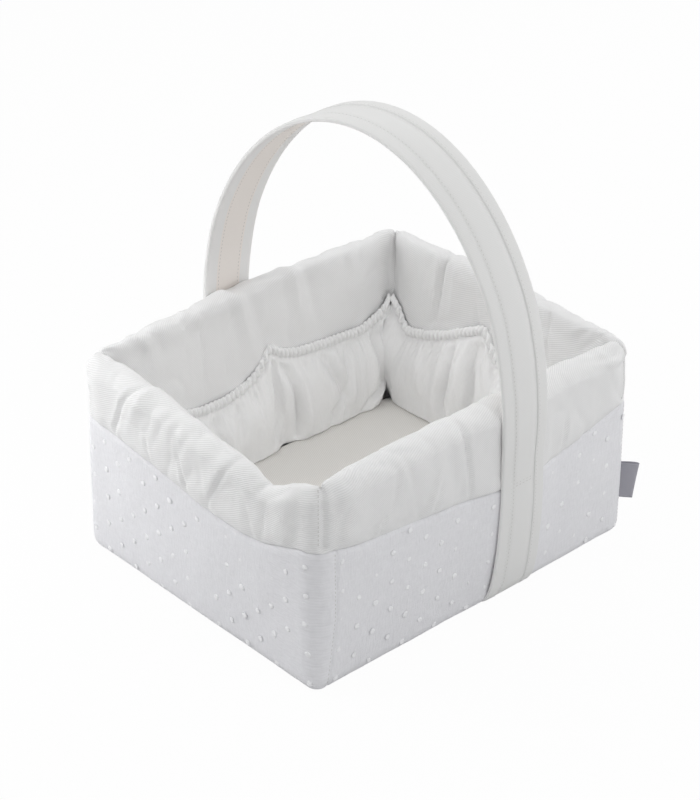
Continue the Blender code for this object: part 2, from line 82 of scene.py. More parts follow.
class LayetteSizes(bpy.types.PropertyGroup):
    length: metres("Length", "Basket length at the base", 0.320)
    width: metres("Width", "Basket width at the base", 0.262)
    rim_height: metres("Rim height", "Height of the rim at the corners", 0.171)
    rim_crown: metres("Rim crown", "How much higher the rim is at mid-wall", 0.005)
    roll_rise: metres("Roll rise", "Height of the rolled top above the wall's shoulder", 0.013)
    corner_radius: metres("Corner radius", "Radius of the upright corners", 0.0065)
    corner_soft: metres("Corner softness", "How much more the corners are rounded at the cuff", 0.0075)
    corner_bulge: metres("Corner bulge", "How far the corners swell outwards", 0.0034)
    corner_ear: metres("Corner ear", "How far the rim stands up at a corner", 0.0024)
    wall_thickness: metres("Wall thickness", "Padded wall at the corners", 0.0108)
    bulge_out: metres("Bulge out", "How far the wall swells outwards at mid-wall", 0.0082)
    bulge_in: metres("Bulge in", "How far the wall swells inwards at mid-wall", 0.0070)
    bulge_height: metres("Bulge height", "Height at which the wall is fullest", 0.110)
    cuff_seam: metres("Cuff seam", "Height of the cuff's lower seam at the corners", 0.1185)
    cuff_dip: metres("Cuff dip", "How much lower the cuff's seam hangs where it is lowest", 0.0135)
    cuff_puff: metres("Cuff puff", "How far the cuff stands proud of the cover", 0.0026)
    floor_height: metres("Floor height", "Top of the sewn-in floor", 0.0145)
    dot_width: metres("Dot width", "Width of one tufted dot", 0.0050)
    dot_column: metres("Dot columns", "Distance between columns of dots", 0.0166)
    dot_row: metres("Dot rows", "Distance between dots in a column", 0.025)
    gather_pitch: metres("Gather pitch", "Distance between gathers in a pocket hem", 0.0044)
    hem_height: metres("Hem height", "Height of the elastic hem", 0.0080)
    belly_depth: metres("Pocket belly", "How far a pocket's belly stands from the lining", 0.0205)
    mat_top: metres("Mat top", "Height of the loose mat's top", 0.026)
    strap_width: metres("Strap width", "Width of the strap", 0.0465)
    strap_push: metres("Strap push", "How much further the wall stands out behind the strap", 0.0055)
    strap_thickness: metres("Strap thickness", "Thickness of the strap on the walls", 0.0028)
    handle_thickness: metres("Handle thickness", "Thickness of the stiffened arch", 0.0040)
    binding_width: metres("Binding width", "Width of the strap's bound edges", 0.0112)
    stitch_length: metres("Stitch length", "Length of one sewn stitch", 0.0026)


class LayetteColours(bpy.types.PropertyGroup):
    cover: cloth_colour("Dotted gauze", "the dotted cotton gauze", "E7E7EA")
    dots: cloth_colour("Dots", "the tufted dots", "F3F3F5")
    cuff: cloth_colour("Cuff twill", "the cuff and lining", "E9E9E9")
    pocket: cloth_colour("Pocket gauze", "the gathered pockets", "F8F8F8")
    strap: cloth_colour("Strap cotton", "the strap", "E6E6E5")
    strap_lining: cloth_colour("Strap lining", "the strap's inner face", "F6F0EB")
    # The bindings' inner faces are the strap's cloth painted lighter: painted light on the strap's inward
    # side
    strap_inside_painted_light: cloth_colour("Strap bindings inside", "the bindings' inner faces", "F2F1F0")
    mat: cloth_colour("Mat twill", "the base mat", "F0EEEA")
    label: cloth_colour("Label satin", "the side label", "A09FA8")
    # The thread is darker than the cloth it sews: painted shade where the stitches sink in
    thread: cloth_colour("Thread", "the sewing thread", "D2D1CE")


def sizes():
    return bpy.context.scene.layette_sizes


def colours():
    return bpy.context.scene.layette_colours


def linear(hex_colour, share=1.0):
    """An sRGB hex colour, made lighter or darker by a share, as linear red, green, blue and alpha."""
    parts = [min(255, round(int(hex_colour[i:i + 2], 16) * share)) / 255 for i in (0, 2, 4)]
    return tuple(c / 12.92 if c <= 0.04045 else ((c + 0.055) / 1.055) ** 2.4 for c in parts) + (1.0,)


# Materials


def node(tree, kind, inputs=None, **settings):
    """Adds a node, sets it, and gives its inputs their values or links."""
    new = tree.nodes.new(kind)
    for name, value in settings.items():
        setattr(new, name, value)
    for name, value in (inputs or {}).items():
        if isinstance(value, bpy.types.NodeSocket):
            tree.links.new(value, new.inputs[name])
        else:
            new.inputs[name].default_value = value
    return new


def empty_tree(block):
    """The node tree of a material or a world, cleared."""
    block.use_nodes = True
    block.node_tree.nodes.clear()
    return block.node_tree


def mapped(tree, vector, scale, angle=0.0):
    """The cloth's coordinates turned by an angle and counted in the pattern's own sizes, in millimetres."""
    turned = node(tree, "ShaderNodeMapping", {"Vector": vector, "Rotation": (0, 0, angle)})
    counted = {"Vector": turned.outputs[0], "Scale": tuple(1 / (s * MM) for s in scale)}
    return node(tree, "ShaderNodeMapping", counted).outputs[0]


def cloth_material(name, colour, roughness, sheen, strength, distance, relief):
    """A cloth, made once: relief(tree, uv) draws on its UVs in metres, and gives a height and any shading."""
    made = bpy.data.materials.get(name)
    if made:
        return made
    made = bpy.data.materials.new(name)
    tree = empty_tree(made)
    uv = node(tree, "ShaderNodeUVMap", uv_map="UVMap").outputs["UV"]
    height, shade = relief(tree, uv)
    bump = node(tree, "ShaderNodeBump", {"Height": height, "Strength": strength, "Distance": distance * MM})
    shader = node(tree, "ShaderNodeBsdfPrincipled", {
        "Base Color": linear(colour) if shade is None else shade, "Normal": bump.outputs[0],
        "Roughness": roughness, "IOR": 1.5, "Sheen Weight": sheen, "Sheen Roughness": 0.5,
    })
    node(tree, "ShaderNodeOutputMaterial", {"Surface": shader.outputs["BSDF"]})
    return made


def crinkled_gauze(name, colour, across=1.5, along=7.0, depth=0.55, mottle_and_crinkle_shade=0.06):
    """Cotton double gauze, washed until it crinkles: matt, with fine uneven wrinkles and an open weave."""

    def relief(tree, uv):
        wrinkles = {"Scale": 1.0, "Detail": 3.0, "Roughness": 0.55, "Distortion": 0.4}
        upright, lying = (
            node(tree, "ShaderNodeTexNoise", {"Vector": mapped(tree, uv, lumps), **wrinkles}).outputs["Fac"]
            for lumps in ((across, along, 10), (along, across * 0.8, 10))
        )
        # Round the near corner the gauze is cut across its grain, and its wrinkles lie level
        turned = node(tree, "ShaderNodeAttribute", attribute_name="turned_grain", attribute_type="GEOMETRY")
        turned = {"Value": turned.outputs["Fac"], "To Min": 0.36, "To Max": 0.75}
        grain = node(tree, "ShaderNodeMapRange", turned)
        crinkle = node(tree, "ShaderNodeMix", {0: grain.outputs[0], 2: upright, 3: lying}).outputs[0]
        # Gauze threads lie 0.5 mm apart, too fine to show, so the weave is drawn at 1.4 mm
        threads = {"Vector": mapped(tree, uv, (1.4, 1.0, 10)), "Scale": 1.0, "Detail": 1.0}
        weave = node(tree, "ShaderNodeTexNoise", threads).outputs["Fac"]
        faint = node(tree, "ShaderNodeMath", {0: weave, 1: 0.35}, operation="MULTIPLY").outputs[0]
        height = node(tree, "ShaderNodeMath", {0: crinkle, 1: faint}, operation="ADD").outputs[0]
        # The colour follows the crinkle: painted shade in its hollows and a painted highlight on its ridges,
        # which also gives the gauze its mottled tone
        tones = {0: crinkle, 6: linear(colour, 1 - mottle_and_crinkle_shade), 7: linear(colour, 1 + mottle_and_crinkle_shade)}
        return height, node(tree, "ShaderNodeMix", tones, data_type="RGBA").outputs[2]

    return cloth_material(name, colour, 0.95, 0.08, depth, 0.8, relief)


def fine_twill(name, colour, depth=0.3, lining=1.0):
    """Fine cotton twill, ironed over wadding: smooth, with a faint diagonal rib whose valleys are darker as
    painted shade. Inside, past the rim, it may be lighter by the lining share: painted light.
    """

    def relief(tree, uv):
        # Twill ribs lie 0.6 mm apart, too fine to show, so they are drawn at 1.6 mm
        ribs = {"Scale": 1 / math.pi, "Distortion": 0.6, "Detail": 1.0}
        ribs["Vector"] = mapped(tree, uv, (1.6, 1.6, 10), math.radians(62))
        rib = node(tree, "ShaderNodeTexWave", ribs, bands_direction="X").outputs["Fac"]
        clouds = {"Vector": mapped(tree, uv, (9, 22, 10)), "Scale": 1.0, "Detail": 2.0}
        cloud = node(tree, "ShaderNodeTexNoise", clouds).outputs["Fac"]
        soft = node(tree, "ShaderNodeMath", {0: cloud, 1: 2.0}, operation="MULTIPLY").outputs[0]
        height = node(tree, "ShaderNodeMath", {0: rib, 1: soft}, operation="ADD").outputs[0]
        # Painted shade darkens the ribs' valleys; past the rim the lining share paints the inside lighter, as
        # painted light
        shades = []
        for tone in (1, lining):
            tones = {0: rib, 6: linear(colour, 0.97 * tone), 7: linear(colour, 1.02 * tone)}
            shades.append(node(tree, "ShaderNodeMix", tones, data_type="RGBA").outputs[2])
        up = node(tree, "ShaderNodeSeparateXYZ", {"Vector": uv}).outputs["Y"]
        rim = {"Value": up, "From Min": 78 * MM, "From Max": 105 * MM}
        past_rim = node(tree, "ShaderNodeMapRange", rim).outputs[0]
        both = {0: past_rim, 6: shades[0], 7: shades[1]}
        return height, node(tree, "ShaderNodeMix", both, data_type="RGBA").outputs[2]

    return cloth_material(name, colour, 0.85, 0.05, depth, 0.5, relief)


def plain_weave(name, colour):
    """Firm plain-woven cotton: an even grain of small raised threads, hardly any sheen."""

    def relief(tree, uv):
        # Threads lie 0.4 mm apart, too fine to show, so they are drawn at 1.2 mm
        threads = {"Scale": 1 / math.pi, "Distortion": 0.8, "Detail": 1.0}
        warp, weft = (
            node(tree, "ShaderNodeTexWave", {"Vector": mapped(tree, uv, (1.2, 1.2, 10)), **threads},
                 bands_direction=way).outputs["Fac"]
            for way in "XY"
        )
        height = node(tree, "ShaderNodeMath", {0: warp, 1: weft}, operation="ADD").outputs[0]
        # Painted shade: the colour is darker where the threads are low, between them
        tones = {0: height, 6: linear(colour, 0.97), 7: linear(colour)}
        return height, node(tree, "ShaderNodeMix", tones, data_type="RGBA").outputs[2]

    return cloth_material(name, colour, 0.88, 0.05, 0.08, 0.3, relief)


def satin(name, colour):
    """Polyester satin ribbon: smooth, with a long soft highlight across its fine ribs."""

    def relief(tree, uv):
        # Ribs lie 0.3 mm apart, too fine to show, so they are drawn at 1 mm
        ribs = {"Vector": mapped(tree, uv, (1.0, 1.0, 10)), "Scale": 1 / math.pi, "Distortion": 0.3}
        return node(tree, "ShaderNodeTexWave", ribs, bands_direction="Y").outputs["Fac"], None

    return cloth_material(name, colour, 0.38, 0.1, 0.2, 0.2, relief)


def tufted_cotton(name, colour):
    """Soft cotton loops clipped to a tuft: very matt, brighter than the gauze it stands on."""

    def relief(tree, uv):
        place = node(tree, "ShaderNodeTexCoord").outputs["Object"]
        fluff = node(tree, "ShaderNodeTexNoise", {"Vector": place, "Scale": 1 / (0.9 * MM), "Detail": 1.0})
        return fluff.outputs["Fac"], None

    return cloth_material(name, colour, 1.0, 0.3, 0.5, 0.4, relief)


# Making pieces


def start_clean():
    """Leaves edit mode and selects nothing, so an operator acts on new work alone."""
    if bpy.context.object and bpy.context.object.mode != "OBJECT":
        bpy.ops.object.mode_set(mode="OBJECT")
    bpy.ops.object.select_all(action="DESELECT")


def pick(piece):
    """Selects one piece alone."""
    start_clean()
    piece.select_set(True)
    bpy.context.view_layer.objects.active = piece


def change_all(piece, change, **settings):
    """Applies an edit-mode operator to all of a piece."""
    pick(piece)
    bpy.ops.object.mode_set(mode="EDIT")
    bpy.ops.mesh.select_all(action="SELECT")
    change(**settings)
    bpy.ops.object.mode_set(mode="OBJECT")


def points_of(piece):
    """A piece's points."""
    points = np.empty(len(piece.data.vertices) * 3)
    piece.data.vertices.foreach_get("co", points)
    return points.reshape(-1, 3)


def lay(piece, points, cloth=None):
    """Moves a piece's points, and may give each a place on the cloth in metres, as its UV map."""
    mesh = piece.data
    mesh.vertices.foreach_set("co", points.ravel())
    if cloth is not None:
        corners = np.empty(len(mesh.loops), dtype=int)
        mesh.loops.foreach_get("vertex_index", corners)
        mesh.uv_layers[0].name = "UVMap"
        mesh.uv_layers[0].data.foreach_set("uv", cloth[corners].ravel())


def cloth_grid(name, across, up, shape, closed=False):
    """A cloth cut as a flat grid and laid: shape(share across, share up) gives points and UVs in metres."""
    start_clean()
    bpy.ops.mesh.primitive_grid_add(x_subdivisions=across, y_subdivisions=up, size=2)
    piece = bpy.context.object
    piece.name = piece.data.name = name
    flat = points_of(piece)
    order = np.lexsort((flat[:, 0].round(6), flat[:, 1].round(6)))
    u, v = np.meshgrid(np.linspace(0, 1, across + 1), np.linspace(0, 1, up + 1))
    points, cloth = shape(u, v)
    placed, spread = np.empty_like(flat), np.empty((len(flat), 2))
    placed[order] = points.reshape(-1, 3)
    spread[order] = cloth.reshape(-1, 2)
    lay(piece, placed, spread)
    if closed:
        change_all(piece, bpy.ops.mesh.remove_doubles, threshold=1e-6)
    bpy.ops.object.shade_smooth()
    return piece


def thicken(piece, thickness, offset=-1.0):
    """Gives a sheet its thickness on its far side."""
    pick(piece)
    modifier = piece.modifiers.new("Cloth thickness", "SOLIDIFY")
    modifier.thickness, modifier.offset = thickness, offset
    bpy.ops.object.modifier_apply(modifier=modifier.name)


def copies(name, pattern, places):
    """One mesh of many copies of a small piece, each under its own matrix. The pattern is removed."""
    points = points_of(pattern)
    count = len(points)
    points = np.c_[points, np.ones(count)]
    faces = [tuple(p.vertices) for p in pattern.data.polygons]
    matrices = np.array([[list(row) for row in m] for m in places])
    moved = np.einsum("mij,vj->mvi", matrices, points)[:, :, :3].reshape(-1, 3)
    all_faces = [tuple(i + k * count for i in face) for k in range(len(places)) for face in faces]
    made = bpy.data.meshes.new(name)
    made.from_pydata(moved.tolist(), [], all_faces)
    made.update()
    piece = bpy.data.objects.new(name, made)
    bpy.context.scene.collection.objects.link(piece)
    bpy.data.objects.remove(pattern)
    made.shade_smooth()
    return piece


def finish(piece, material, body, replaced=()):
    """Gives a piece its finish, its body and the frame's pieces that it stands for."""
    piece.data.materials.clear()
    piece.data.materials.append(material)
    if body:
        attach(piece, body)
    if replaced:
        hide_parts(*replaced)


# Curves, noise and folds


def ramp(value):
    """A value held between 0 and 1."""
    return np.clip(value, 0, 1)


def bell(value, width):
    """A bump: 1 where the value is 0, and fading over a width."""
    return np.exp(-((value / width) ** 2))


def smooth_table(table, at, blur, column=1):
    """A table's value at a place, with the table's corners rounded over a distance."""
    table = np.array(table)
    line = np.linspace(table[0, 0], table[-1, 0], 801)
    step = line[1] - line[0]
    reach = max(3, int(3 * blur / step))
    kernel = bell(np.arange(-reach, reach + 1) * step, blur)
    values = np.interp(line, table[:, 0], table[:, column])
    before, after = 2 * values[0] - values[reach:0:-1], 2 * values[-1] - values[-2:-reach - 2:-1]
    values = np.convolve(np.concatenate([before, values, after]), kernel / kernel.sum(), mode="valid")
    return np.interp(at, line, values)


def catmull(controls, share):
    """A smooth curve through control values given for each column, at each row's share from 0 to 1."""
    count = len(controls) - 1
    at = np.clip(share * count, 0, count - 1e-9)
    first = at.astype(int)
    t = at - first
    stack = np.stack([2 * controls[0] - controls[1], *controls, 2 * controls[-1] - controls[-2]])
    p0, p1, p2, p3 = (np.take_along_axis(stack, (first + k)[None], axis=0)[0] for k in range(4))
    bend = (2 * p0 - 5 * p1 + 4 * p2 - p3) * t**2 + (3 * p1 - p0 - 3 * p2 + p3) * t**3
    return 0.5 * (2 * p1 + (p2 - p0) * t + bend)


def square_to(points, closed=False):
    """Directions square to a grid of points, which may close on itself round its rows."""
    across = np.gradient(points, axis=1)
    if closed:
        across[:, 0] = across[:, -1] = points[:, 1] - points[:, 0] + points[:, -1] - points[:, -2]
    square = np.cross(across, np.gradient(points, axis=0))
    return square / np.maximum(np.linalg.norm(square, axis=-1, keepdims=True), 1e-12)


def lengths(points):
    """Distance along each column of a grid of points."""
    steps = np.linalg.norm(np.diff(points, axis=0), axis=-1)
    return np.concatenate([np.zeros((1, points.shape[1])), np.cumsum(steps, axis=0)])


def uneven(points, size_mm, seed=0.0):
    """Smooth noise from -1 to 1 over a grid of points, with lumps of the given sizes in millimetres."""
    scaled = points.reshape(-1, points.shape[-1]) / (np.array(size_mm) * MM)
    shift = Vector((seed, seed * 1.7, seed * 2.3))
    return np.array([noise.noise(Vector(p) + shift) for p in scaled]).reshape(points.shape[:-1])


def wander(along, size_mm, seed):
    """Smooth noise from -1 to 1 along a line, with lumps of one size in millimetres."""
    line = np.linspace(along.min(), along.max(), 1200)
    values = [noise.noise(Vector((x / (size_mm * MM), seed * 3.1, seed))) for x in line]
    return np.interp(along, line, values)


def billow(values):
    """Round ridges with narrow valleys between them, from smooth noise."""
    return 1.7 * np.abs(values) ** 0.75 - 0.6


def folded(along, up, folds, sharp=2.0, around=None):
    """Height of listed folds over a cloth that closes on itself after a distance.

    Each fold has its width, its height and a line of places, in millimetres. A valley has a negative height.
    """
    total = np.zeros_like(along)
    around = around or outline_length()
    for width, height, *places in folds:
        nearest, here = np.full(along.shape, 1e9), np.zeros_like(along)
        count = len(places) - 1
        for k in range(count):
            (u0, v0), (u1, v1) = places[k], places[k + 1]
            run = np.array([u1 - u0, v1 - v0]) * MM
            du, dv = np.mod(along - u0 * MM + around / 2, around) - around / 2, up - v0 * MM
            share = ramp((du * run[0] + dv * run[1]) / np.hypot(*run) ** 2)
            far = np.hypot(du - share * run[0], dv - share * run[1])
            closer = far < np.abs(nearest)
            nearest = np.where(closer, far * np.sign(du * run[1] - dv * run[0]), nearest)
            here = np.where(closer, (k + share) / count, here)
        taper = ramp(np.minimum(here, 1 - here) * 4) * 0.75 + 0.25
        side = nearest / (width * MM)
        # The cloth dips a little beside a ridge, and rises beside a valley
        beside = 0.4 * np.exp(-((side - 1.7) ** 2) / 1.4) + 0.2 * np.exp(-((side + 1.9) ** 2) / 1.8)
        total += height * MM * taper * (np.exp(-np.abs(side) ** sharp) - beside)
    return total


# The walls' shape

# How much of the corner softness the right front, right back, left back and left front corners have
CORNER_SOFTNESS = (0.0, 0.5, 0.4, 1.0)

# How deep the cuff's seam dips along a long and a short wall, as shares of the dip, from the wall's first end
SEAM_DIP = (
    (
        (-1, 0), (-0.86, 0.3), (-0.5, 0.52), (-0.06, 0.92), (0.25, 1), (0.5, 0.9), (0.68, 0.62),
        (0.85, 0.28), (1, 0),
    ),
    (
        (-1, 0), (-0.69, 0.04), (-0.36, 0.2), (0, 0.68), (0.2, 0.85), (0.42, 1), (0.68, 0.88), (0.9, 0.25),
        (1, 0),
    ),
)

# How far the rim sinks, and how much thinner it is inside, at places along the outline, all in millimetres
RIM_SLUMP = (
    (0, 0, 0), (925, 0, 0), (965, 2.5, 3), (1000, 6, 6), (1020, 8, 7), (1045, 9, 7), (1062, 10, 7),
    (1078, 12, 7), (1092, 16, 8), (1102, 19, 8), (1108, 18, 7), (1118, 12, 4), (1130, 6, 2), (1142, 2, 0),
    (1153, 0, 0),
)

# Where the upright seams of the cover and of the cuff lie along the outline, in millimetres
COVER_SEAMS = (3.0, 312, 577, 888)
CORNER_SEAMS = (310, 569, 886, 1150)

# The strap's middle at the front edge of the base, how far it has moved at the back edge, and those edges
STRAP_FRONT, STRAP_SKEW, STRAP_EDGE = 0.0312, -0.0392, 0.131


def half_sides():
    """Half the width and half the length of the base."""
    return sizes().width / 2, sizes().length / 2


def outline_length():
    """The way round the base."""
    size = sizes()
    return 2 * (size.length + size.width) - (8 - 2 * math.pi) * size.corner_radius


def wall_ways(wall):
    """How far a wall is turned from the front wall, its direction, and its outward direction."""
    turn = wall * math.pi / 2
    return turn, np.array([math.cos(turn), math.sin(turn)]), np.array([math.sin(turn), -math.cos(turn)])


def strap_x(y):
    """The strap's middle, askew from the front wall to the back wall."""
    return STRAP_FRONT + STRAP_SKEW * (np.clip(y, -STRAP_EDGE, STRAP_EDGE) + STRAP_EDGE) / (2 * STRAP_EDGE)


def outline(u):
    """Marks for each share of the way round the basket.

    ahead, out and turned are the wall's direction, its outward direction, and that direction turned round the
    corners. half and reach are the wall's distance from the middle and half its length. share is the place on
    its straight run, full its fullness, dip the seam's dip, soft the corners' softness, behind the strap.
    """
    halves, radius = half_sides(), sizes().corner_radius
    along = np.mod(u, 1) * outline_length()
    arc = math.pi / 2 * radius
    mark = {name: np.zeros(u.shape + (2,)) for name in ("ahead", "out", "turned")}
    numbers = ("share", "half", "reach", "full", "dip", "soft", "behind")
    mark.update({name: np.zeros(u.shape) for name in numbers})
    start = 0.0
    for wall in range(4):
        half, reach = halves[wall % 2], halves[(wall + 1) % 2]
        run = 2 * (reach - radius)
        turn, ahead, out = wall_ways(wall)
        softness = CORNER_SOFTNESS[wall - 1], CORNER_SOFTNESS[wall]
        for first, last, corner in ((start, start + run, False), (start + run, start + run + arc, True)):
            here = (along >= first) & (along <= last)
            ones = np.ones(here.sum())
            share = ones if corner else (along[here] - first) / (run / 2) - 1
            angle = turn + ((along[here] - first) / radius if corner else 0)
            values = {"ahead": ahead, "out": out, "half": half, "reach": reach, "share": share}
            values["turned"] = np.stack([np.sin(angle) * ones, -np.cos(angle) * ones], axis=-1)
            values["full"] = 0 if corner else 1 - np.abs(share) ** 2.2
            values["dip"] = 0 if corner else smooth_table(SEAM_DIP[wall % 2], share, 0.06)
            values["soft"] = softness[0] + (softness[1] - softness[0]) * (share + 1) / 2
            if wall % 2 == 0 and not corner:
                strap = strap_x(-STRAP_EDGE) if wall == 0 else -strap_x(STRAP_EDGE)
                values["behind"] = np.exp(-(((share * run / 2 - strap) / 0.040) ** 4))
            for name, value in values.items():
                mark[name][here] = value
        start += run + arc
    return mark


def raised(mark, offset, height):
    """Points of the wall from their marks on the outline, how far they stand out of it, and their heights."""
    size = sizes()
    inward = np.minimum(offset, 0)
    straight = np.abs(mark["share"]) < 1
    rounder = mark["soft"] * size.corner_soft * ramp(height / 0.06) * ramp(1 + offset / 0.006)
    radius = np.maximum(size.corner_radius + rounder + 0.25 * inward, 0.002)
    along = (mark["reach"] + inward - radius) * mark["share"]
    out = mark["half"] + np.where(straight, offset, inward) - radius
    turned = radius + np.where(straight, 0, np.maximum(offset, 0))
    flat = mark["ahead"] * along[..., None] + mark["out"] * out[..., None]
    flat = flat + mark["turned"] * turned[..., None]
    return np.concatenate([flat, height[..., None]], axis=-1)


def outer_face(height, mark):
    """How far the outside stands out of the outline: it swells along each wall, and more behind the strap."""
    size = sizes()
    swell = np.sin(math.pi / 2 * np.minimum(1, height / size.bulge_height))
    pushed = size.strap_push * mark["behind"] * np.sqrt(swell) * (1 - 0.5 * ramp((height - 0.108) / 0.012))
    corner = size.corner_bulge * np.minimum(1, height / 0.008) ** 0.5
    return pushed + (size.bulge_out - size.corner_bulge) * mark["full"] * swell + corner


def inner_face(height, full):
    """How far the inside stands from the outline at a height, towards the room."""
    size = sizes()
    shoulder = size.rim_height - size.roll_rise
    rise = ramp((height - size.floor_height) / (shoulder - size.floor_height))
    swell = size.bulge_in * (1 - (1 - full) ** 3) * np.sin(math.pi * (0.14 + 0.66 * rise))
    return -(size.wall_thickness + swell)


def seam_height(mark):
    """The height of the cuff's lower seam."""
    return sizes().cuff_seam - sizes().cuff_dip * mark["dip"]


def past_seam(along, seam):
    """How far places along the outline lie past an upright seam."""
    return np.mod(along - seam * MM + 0.2, outline_length()) - 0.2


def crowded(u, seams):
    """Places along the outline drawn together round the seams, so that a grid is finer there."""
    along = u * outline_length()
    for seam in seams:
        far = past_seam(along, seam)
        along = along - 0.62 * far * bell(far, 14 * MM)
    return along / outline_length()


# The cover, and the cuff with the lining

# The cuff's and lining's folds: width and height, then places along the outline and up from the cuff's seam,
# over the rim and down inside
CUFF_FOLDS = (
    (2.2, -2.2, (957, 70), (952, 58), (940, 38), (929, 12), (927, 2)),
    (6.0, 1.6, (966, 76), (961, 50), (948, 22)), (2.2, -2.0, (876, 72), (897, 41)),
    (3.4, 1.4, (884, 66), (892, 50)), (2.4, -1.3, (884, 58), (920, 62), (956, 72)),
    (1.8, -1.1, (968, 26), (973, 4)), (1.8, -1.6, (1006, 34), (1013, 20), (1019, 2)),
    (3.6, -0.9, (1004, 56), (1008, 36)),
    (2.0, -1.2, (1072, 64), (1068, 52), (1058, 36), (1047, 16), (1040, 0)),
    (6.0, 1.6, (1068, 66), (1052, 38), (1030, 6)), (3.6, -1.0, (1024, 60), (1002, 18)),
    (3.4, -0.8, (1000, 64), (978, 24)), (2.6, -1.3, (1106, 64), (1104, 55), (1099, 44)),
    (5.0, 1.6, (1122, 60), (1130, 56)), (2.2, -2.8, (128, 76), (129, 58), (133, 30), (136, 0)),
    (5.0, 1.6, (119, 68), (125, 24)), (3.2, 1.2, (104, 44), (99, 28), (89, 0)),
    (2.2, -1.0, (106, 32), (97, 2)), (3.0, -1.0, (68, 62), (75, 34)), (1.8, -1.2, (240, 34), (231, 0)),
    (2.8, -1.2, (205, 60), (214, 28), (212, 8)), (1.8, -1.0, (160, 24), (164, 0)),
    (1.8, -1.0, (48, 22), (44, 0)), (2.6, -1.7, (262, 66), (288, 54), (312, 52)),
    (3.0, 1.4, (270, 60), (300, 46), (316, 40)), (2.2, -2.0, (318, 72), (330, 62), (332, 46)),
    (2.4, -1.6, (340, 96), (329, 80), (322, 64)), (3.6, 1.5, (350, 80), (338, 68)),
    (6.0, 2.0, (759, 62), (752, 88), (739, 140)), (7.5, -2.4, (745, 64), (738, 92), (724, 140)),
    (6.0, 2.0, (692, 62), (688, 92), (679, 136)), (7.5, -2.2, (677, 66), (672, 94), (664, 132)),
    (16.0, 4.5, (330, 98), (420, 100), (490, 96)), (4.2, 2.0, (856, 60), (848, 90)),
    (5.0, -1.6, (842, 66), (834, 96)), (4.6, -1.5, (812, 70), (806, 104)),
    (4.0, 1.0, (800, 68), (794, 100)), (4.0, 1.4, (626, 62), (622, 92)), (4.5, -1.6, (612, 66), (610, 96)),
    (3.2, -4.6, (502, 62), (503, 84), (508, 112), (514, 150)),
    (11.0, 3.0, (484, 66), (486, 100), (492, 140)), (3.0, -2.6, (380, 72), (375, 84), (369, 118)),
    (6.0, 1.8, (392, 74), (384, 100)), (3.4, -2.0, (420, 70), (414, 110)),
)

# Stretches of the outline with stray folds: first and last place, lowest and highest, and the step along
STRAY_STRETCHES = (
    (345, 560, 2, 66, 26), (585, 875, 2, 60, 30), (10, 300, 76, 150, 36), (400, 480, 84, 150, 30),
    (900, 1130, 76, 150, 34),
)


def cover_shape(u, v):
    """The dotted cover: up from the base's edge to the tuck under the cuff's seam."""
    mark = outline(u)
    top = seam_height(mark)
    edge = 0.03
    turn = ramp(v / edge)
    height = np.where(v < edge, 0.0003 + 0.0017 * turn**2, 0.002 + (top - 0.002) * (v - edge) / 0.97)
    offset = outer_face(height, mark) - 0.0022 * (1 - turn) ** 2 - 0.0016 * bell(1 - v, 0.012)
    points = raised(mark, offset, height)
    held = ramp(v / 0.05) * ramp((1 - v) / 0.04)
    soft = 1.0 * MM * uneven(points, (38, 38, 60), 3.0) + 0.4 * MM * uneven(points, (9, 9, 24), 7.0)
    soft = soft + 0.6 * MM * uneven(points, (5, 5, 26), 31.0) * np.exp((height - top) / 0.010)
    seams = sum(bell(past_seam(u * outline_length(), seam), 0.9 * MM) for seam in COVER_SEAMS)
    points = points + square_to(points, True) * (soft * held - 1.0 * MM * seams * ramp(v / 0.04))[..., None]
    return points, np.stack([u * outline_length(), lengths(points)], axis=-1)


def cuff_shape(u, v):
    """The cuff and lining in one: up from its seam, over the rolled rim and down inside to the floor."""
    size = sizes()
    mark = outline(u)
    full = mark["full"]
    seam = seam_height(mark)
    slump, pinch = (smooth_table(RIM_SLUMP, np.mod(u, 1) * outline_length() / MM, 6, k) * MM for k in (1, 2))
    shoulder = size.rim_height + size.rim_crown * full - size.roll_rise - slump
    outside, roll, inside = 0.24, 0.17, 0.59
    a, b, c = ramp(v / outside), ramp((v - outside) / roll), ramp((v - outside - roll) / inside)
    beside = np.maximum(0, 1 - np.abs(mark["share"])) * (mark["reach"] - size.corner_radius)
    pillow = 1 - bell(beside, 0.007) + 0.5 * bell(beside - 0.016, 0.009)
    puff = size.cuff_puff * pillow * (1 - (1 - np.minimum(1, a * 3)) ** 2) - 0.0012 * bell(a, 0.02)
    high = seam + (shoulder - seam) * a
    top_out = outer_face(shoulder, mark) + size.cuff_puff * pillow
    top_in = inner_face(size.rim_height - size.roll_rise, full) + pinch
    angle = b * math.pi
    over = (top_out + top_in) / 2 + (top_out - top_in) / 2 * (np.cos(angle) - 0.35 * np.sin(angle) ** 2)
    ear = size.corner_ear * (bell(beside, 0.020) - 0.25)
    low = shoulder + (size.floor_height + 0.0004 - shoulder) * c
    stages = [v <= outside, v <= outside + roll]
    inner = inner_face(low, full) + pinch * (1 - c) ** 2
    offset = np.select(stages, [outer_face(high, mark) + puff, over], inner)
    height = np.select(stages, [high, shoulder + (size.roll_rise + ear) * np.sin(angle)], low)
    points = raised(mark, offset, height)
    up = lengths(points)
    held = ramp(up / 0.003) * ramp((1 - v) / 0.05) * (1 - 0.75 * mark["behind"] * (v < outside))
    laid = folded(u * outline_length(), up, CUFF_FOLDS + tuple(stray_folds()), 1.5)
    soft = (cuff_softness(points, up) + laid) * held + corner_seams(u, v)
    points = points + square_to(points, True) * soft[..., None]
    return points, np.stack([u * outline_length(), up], axis=-1)


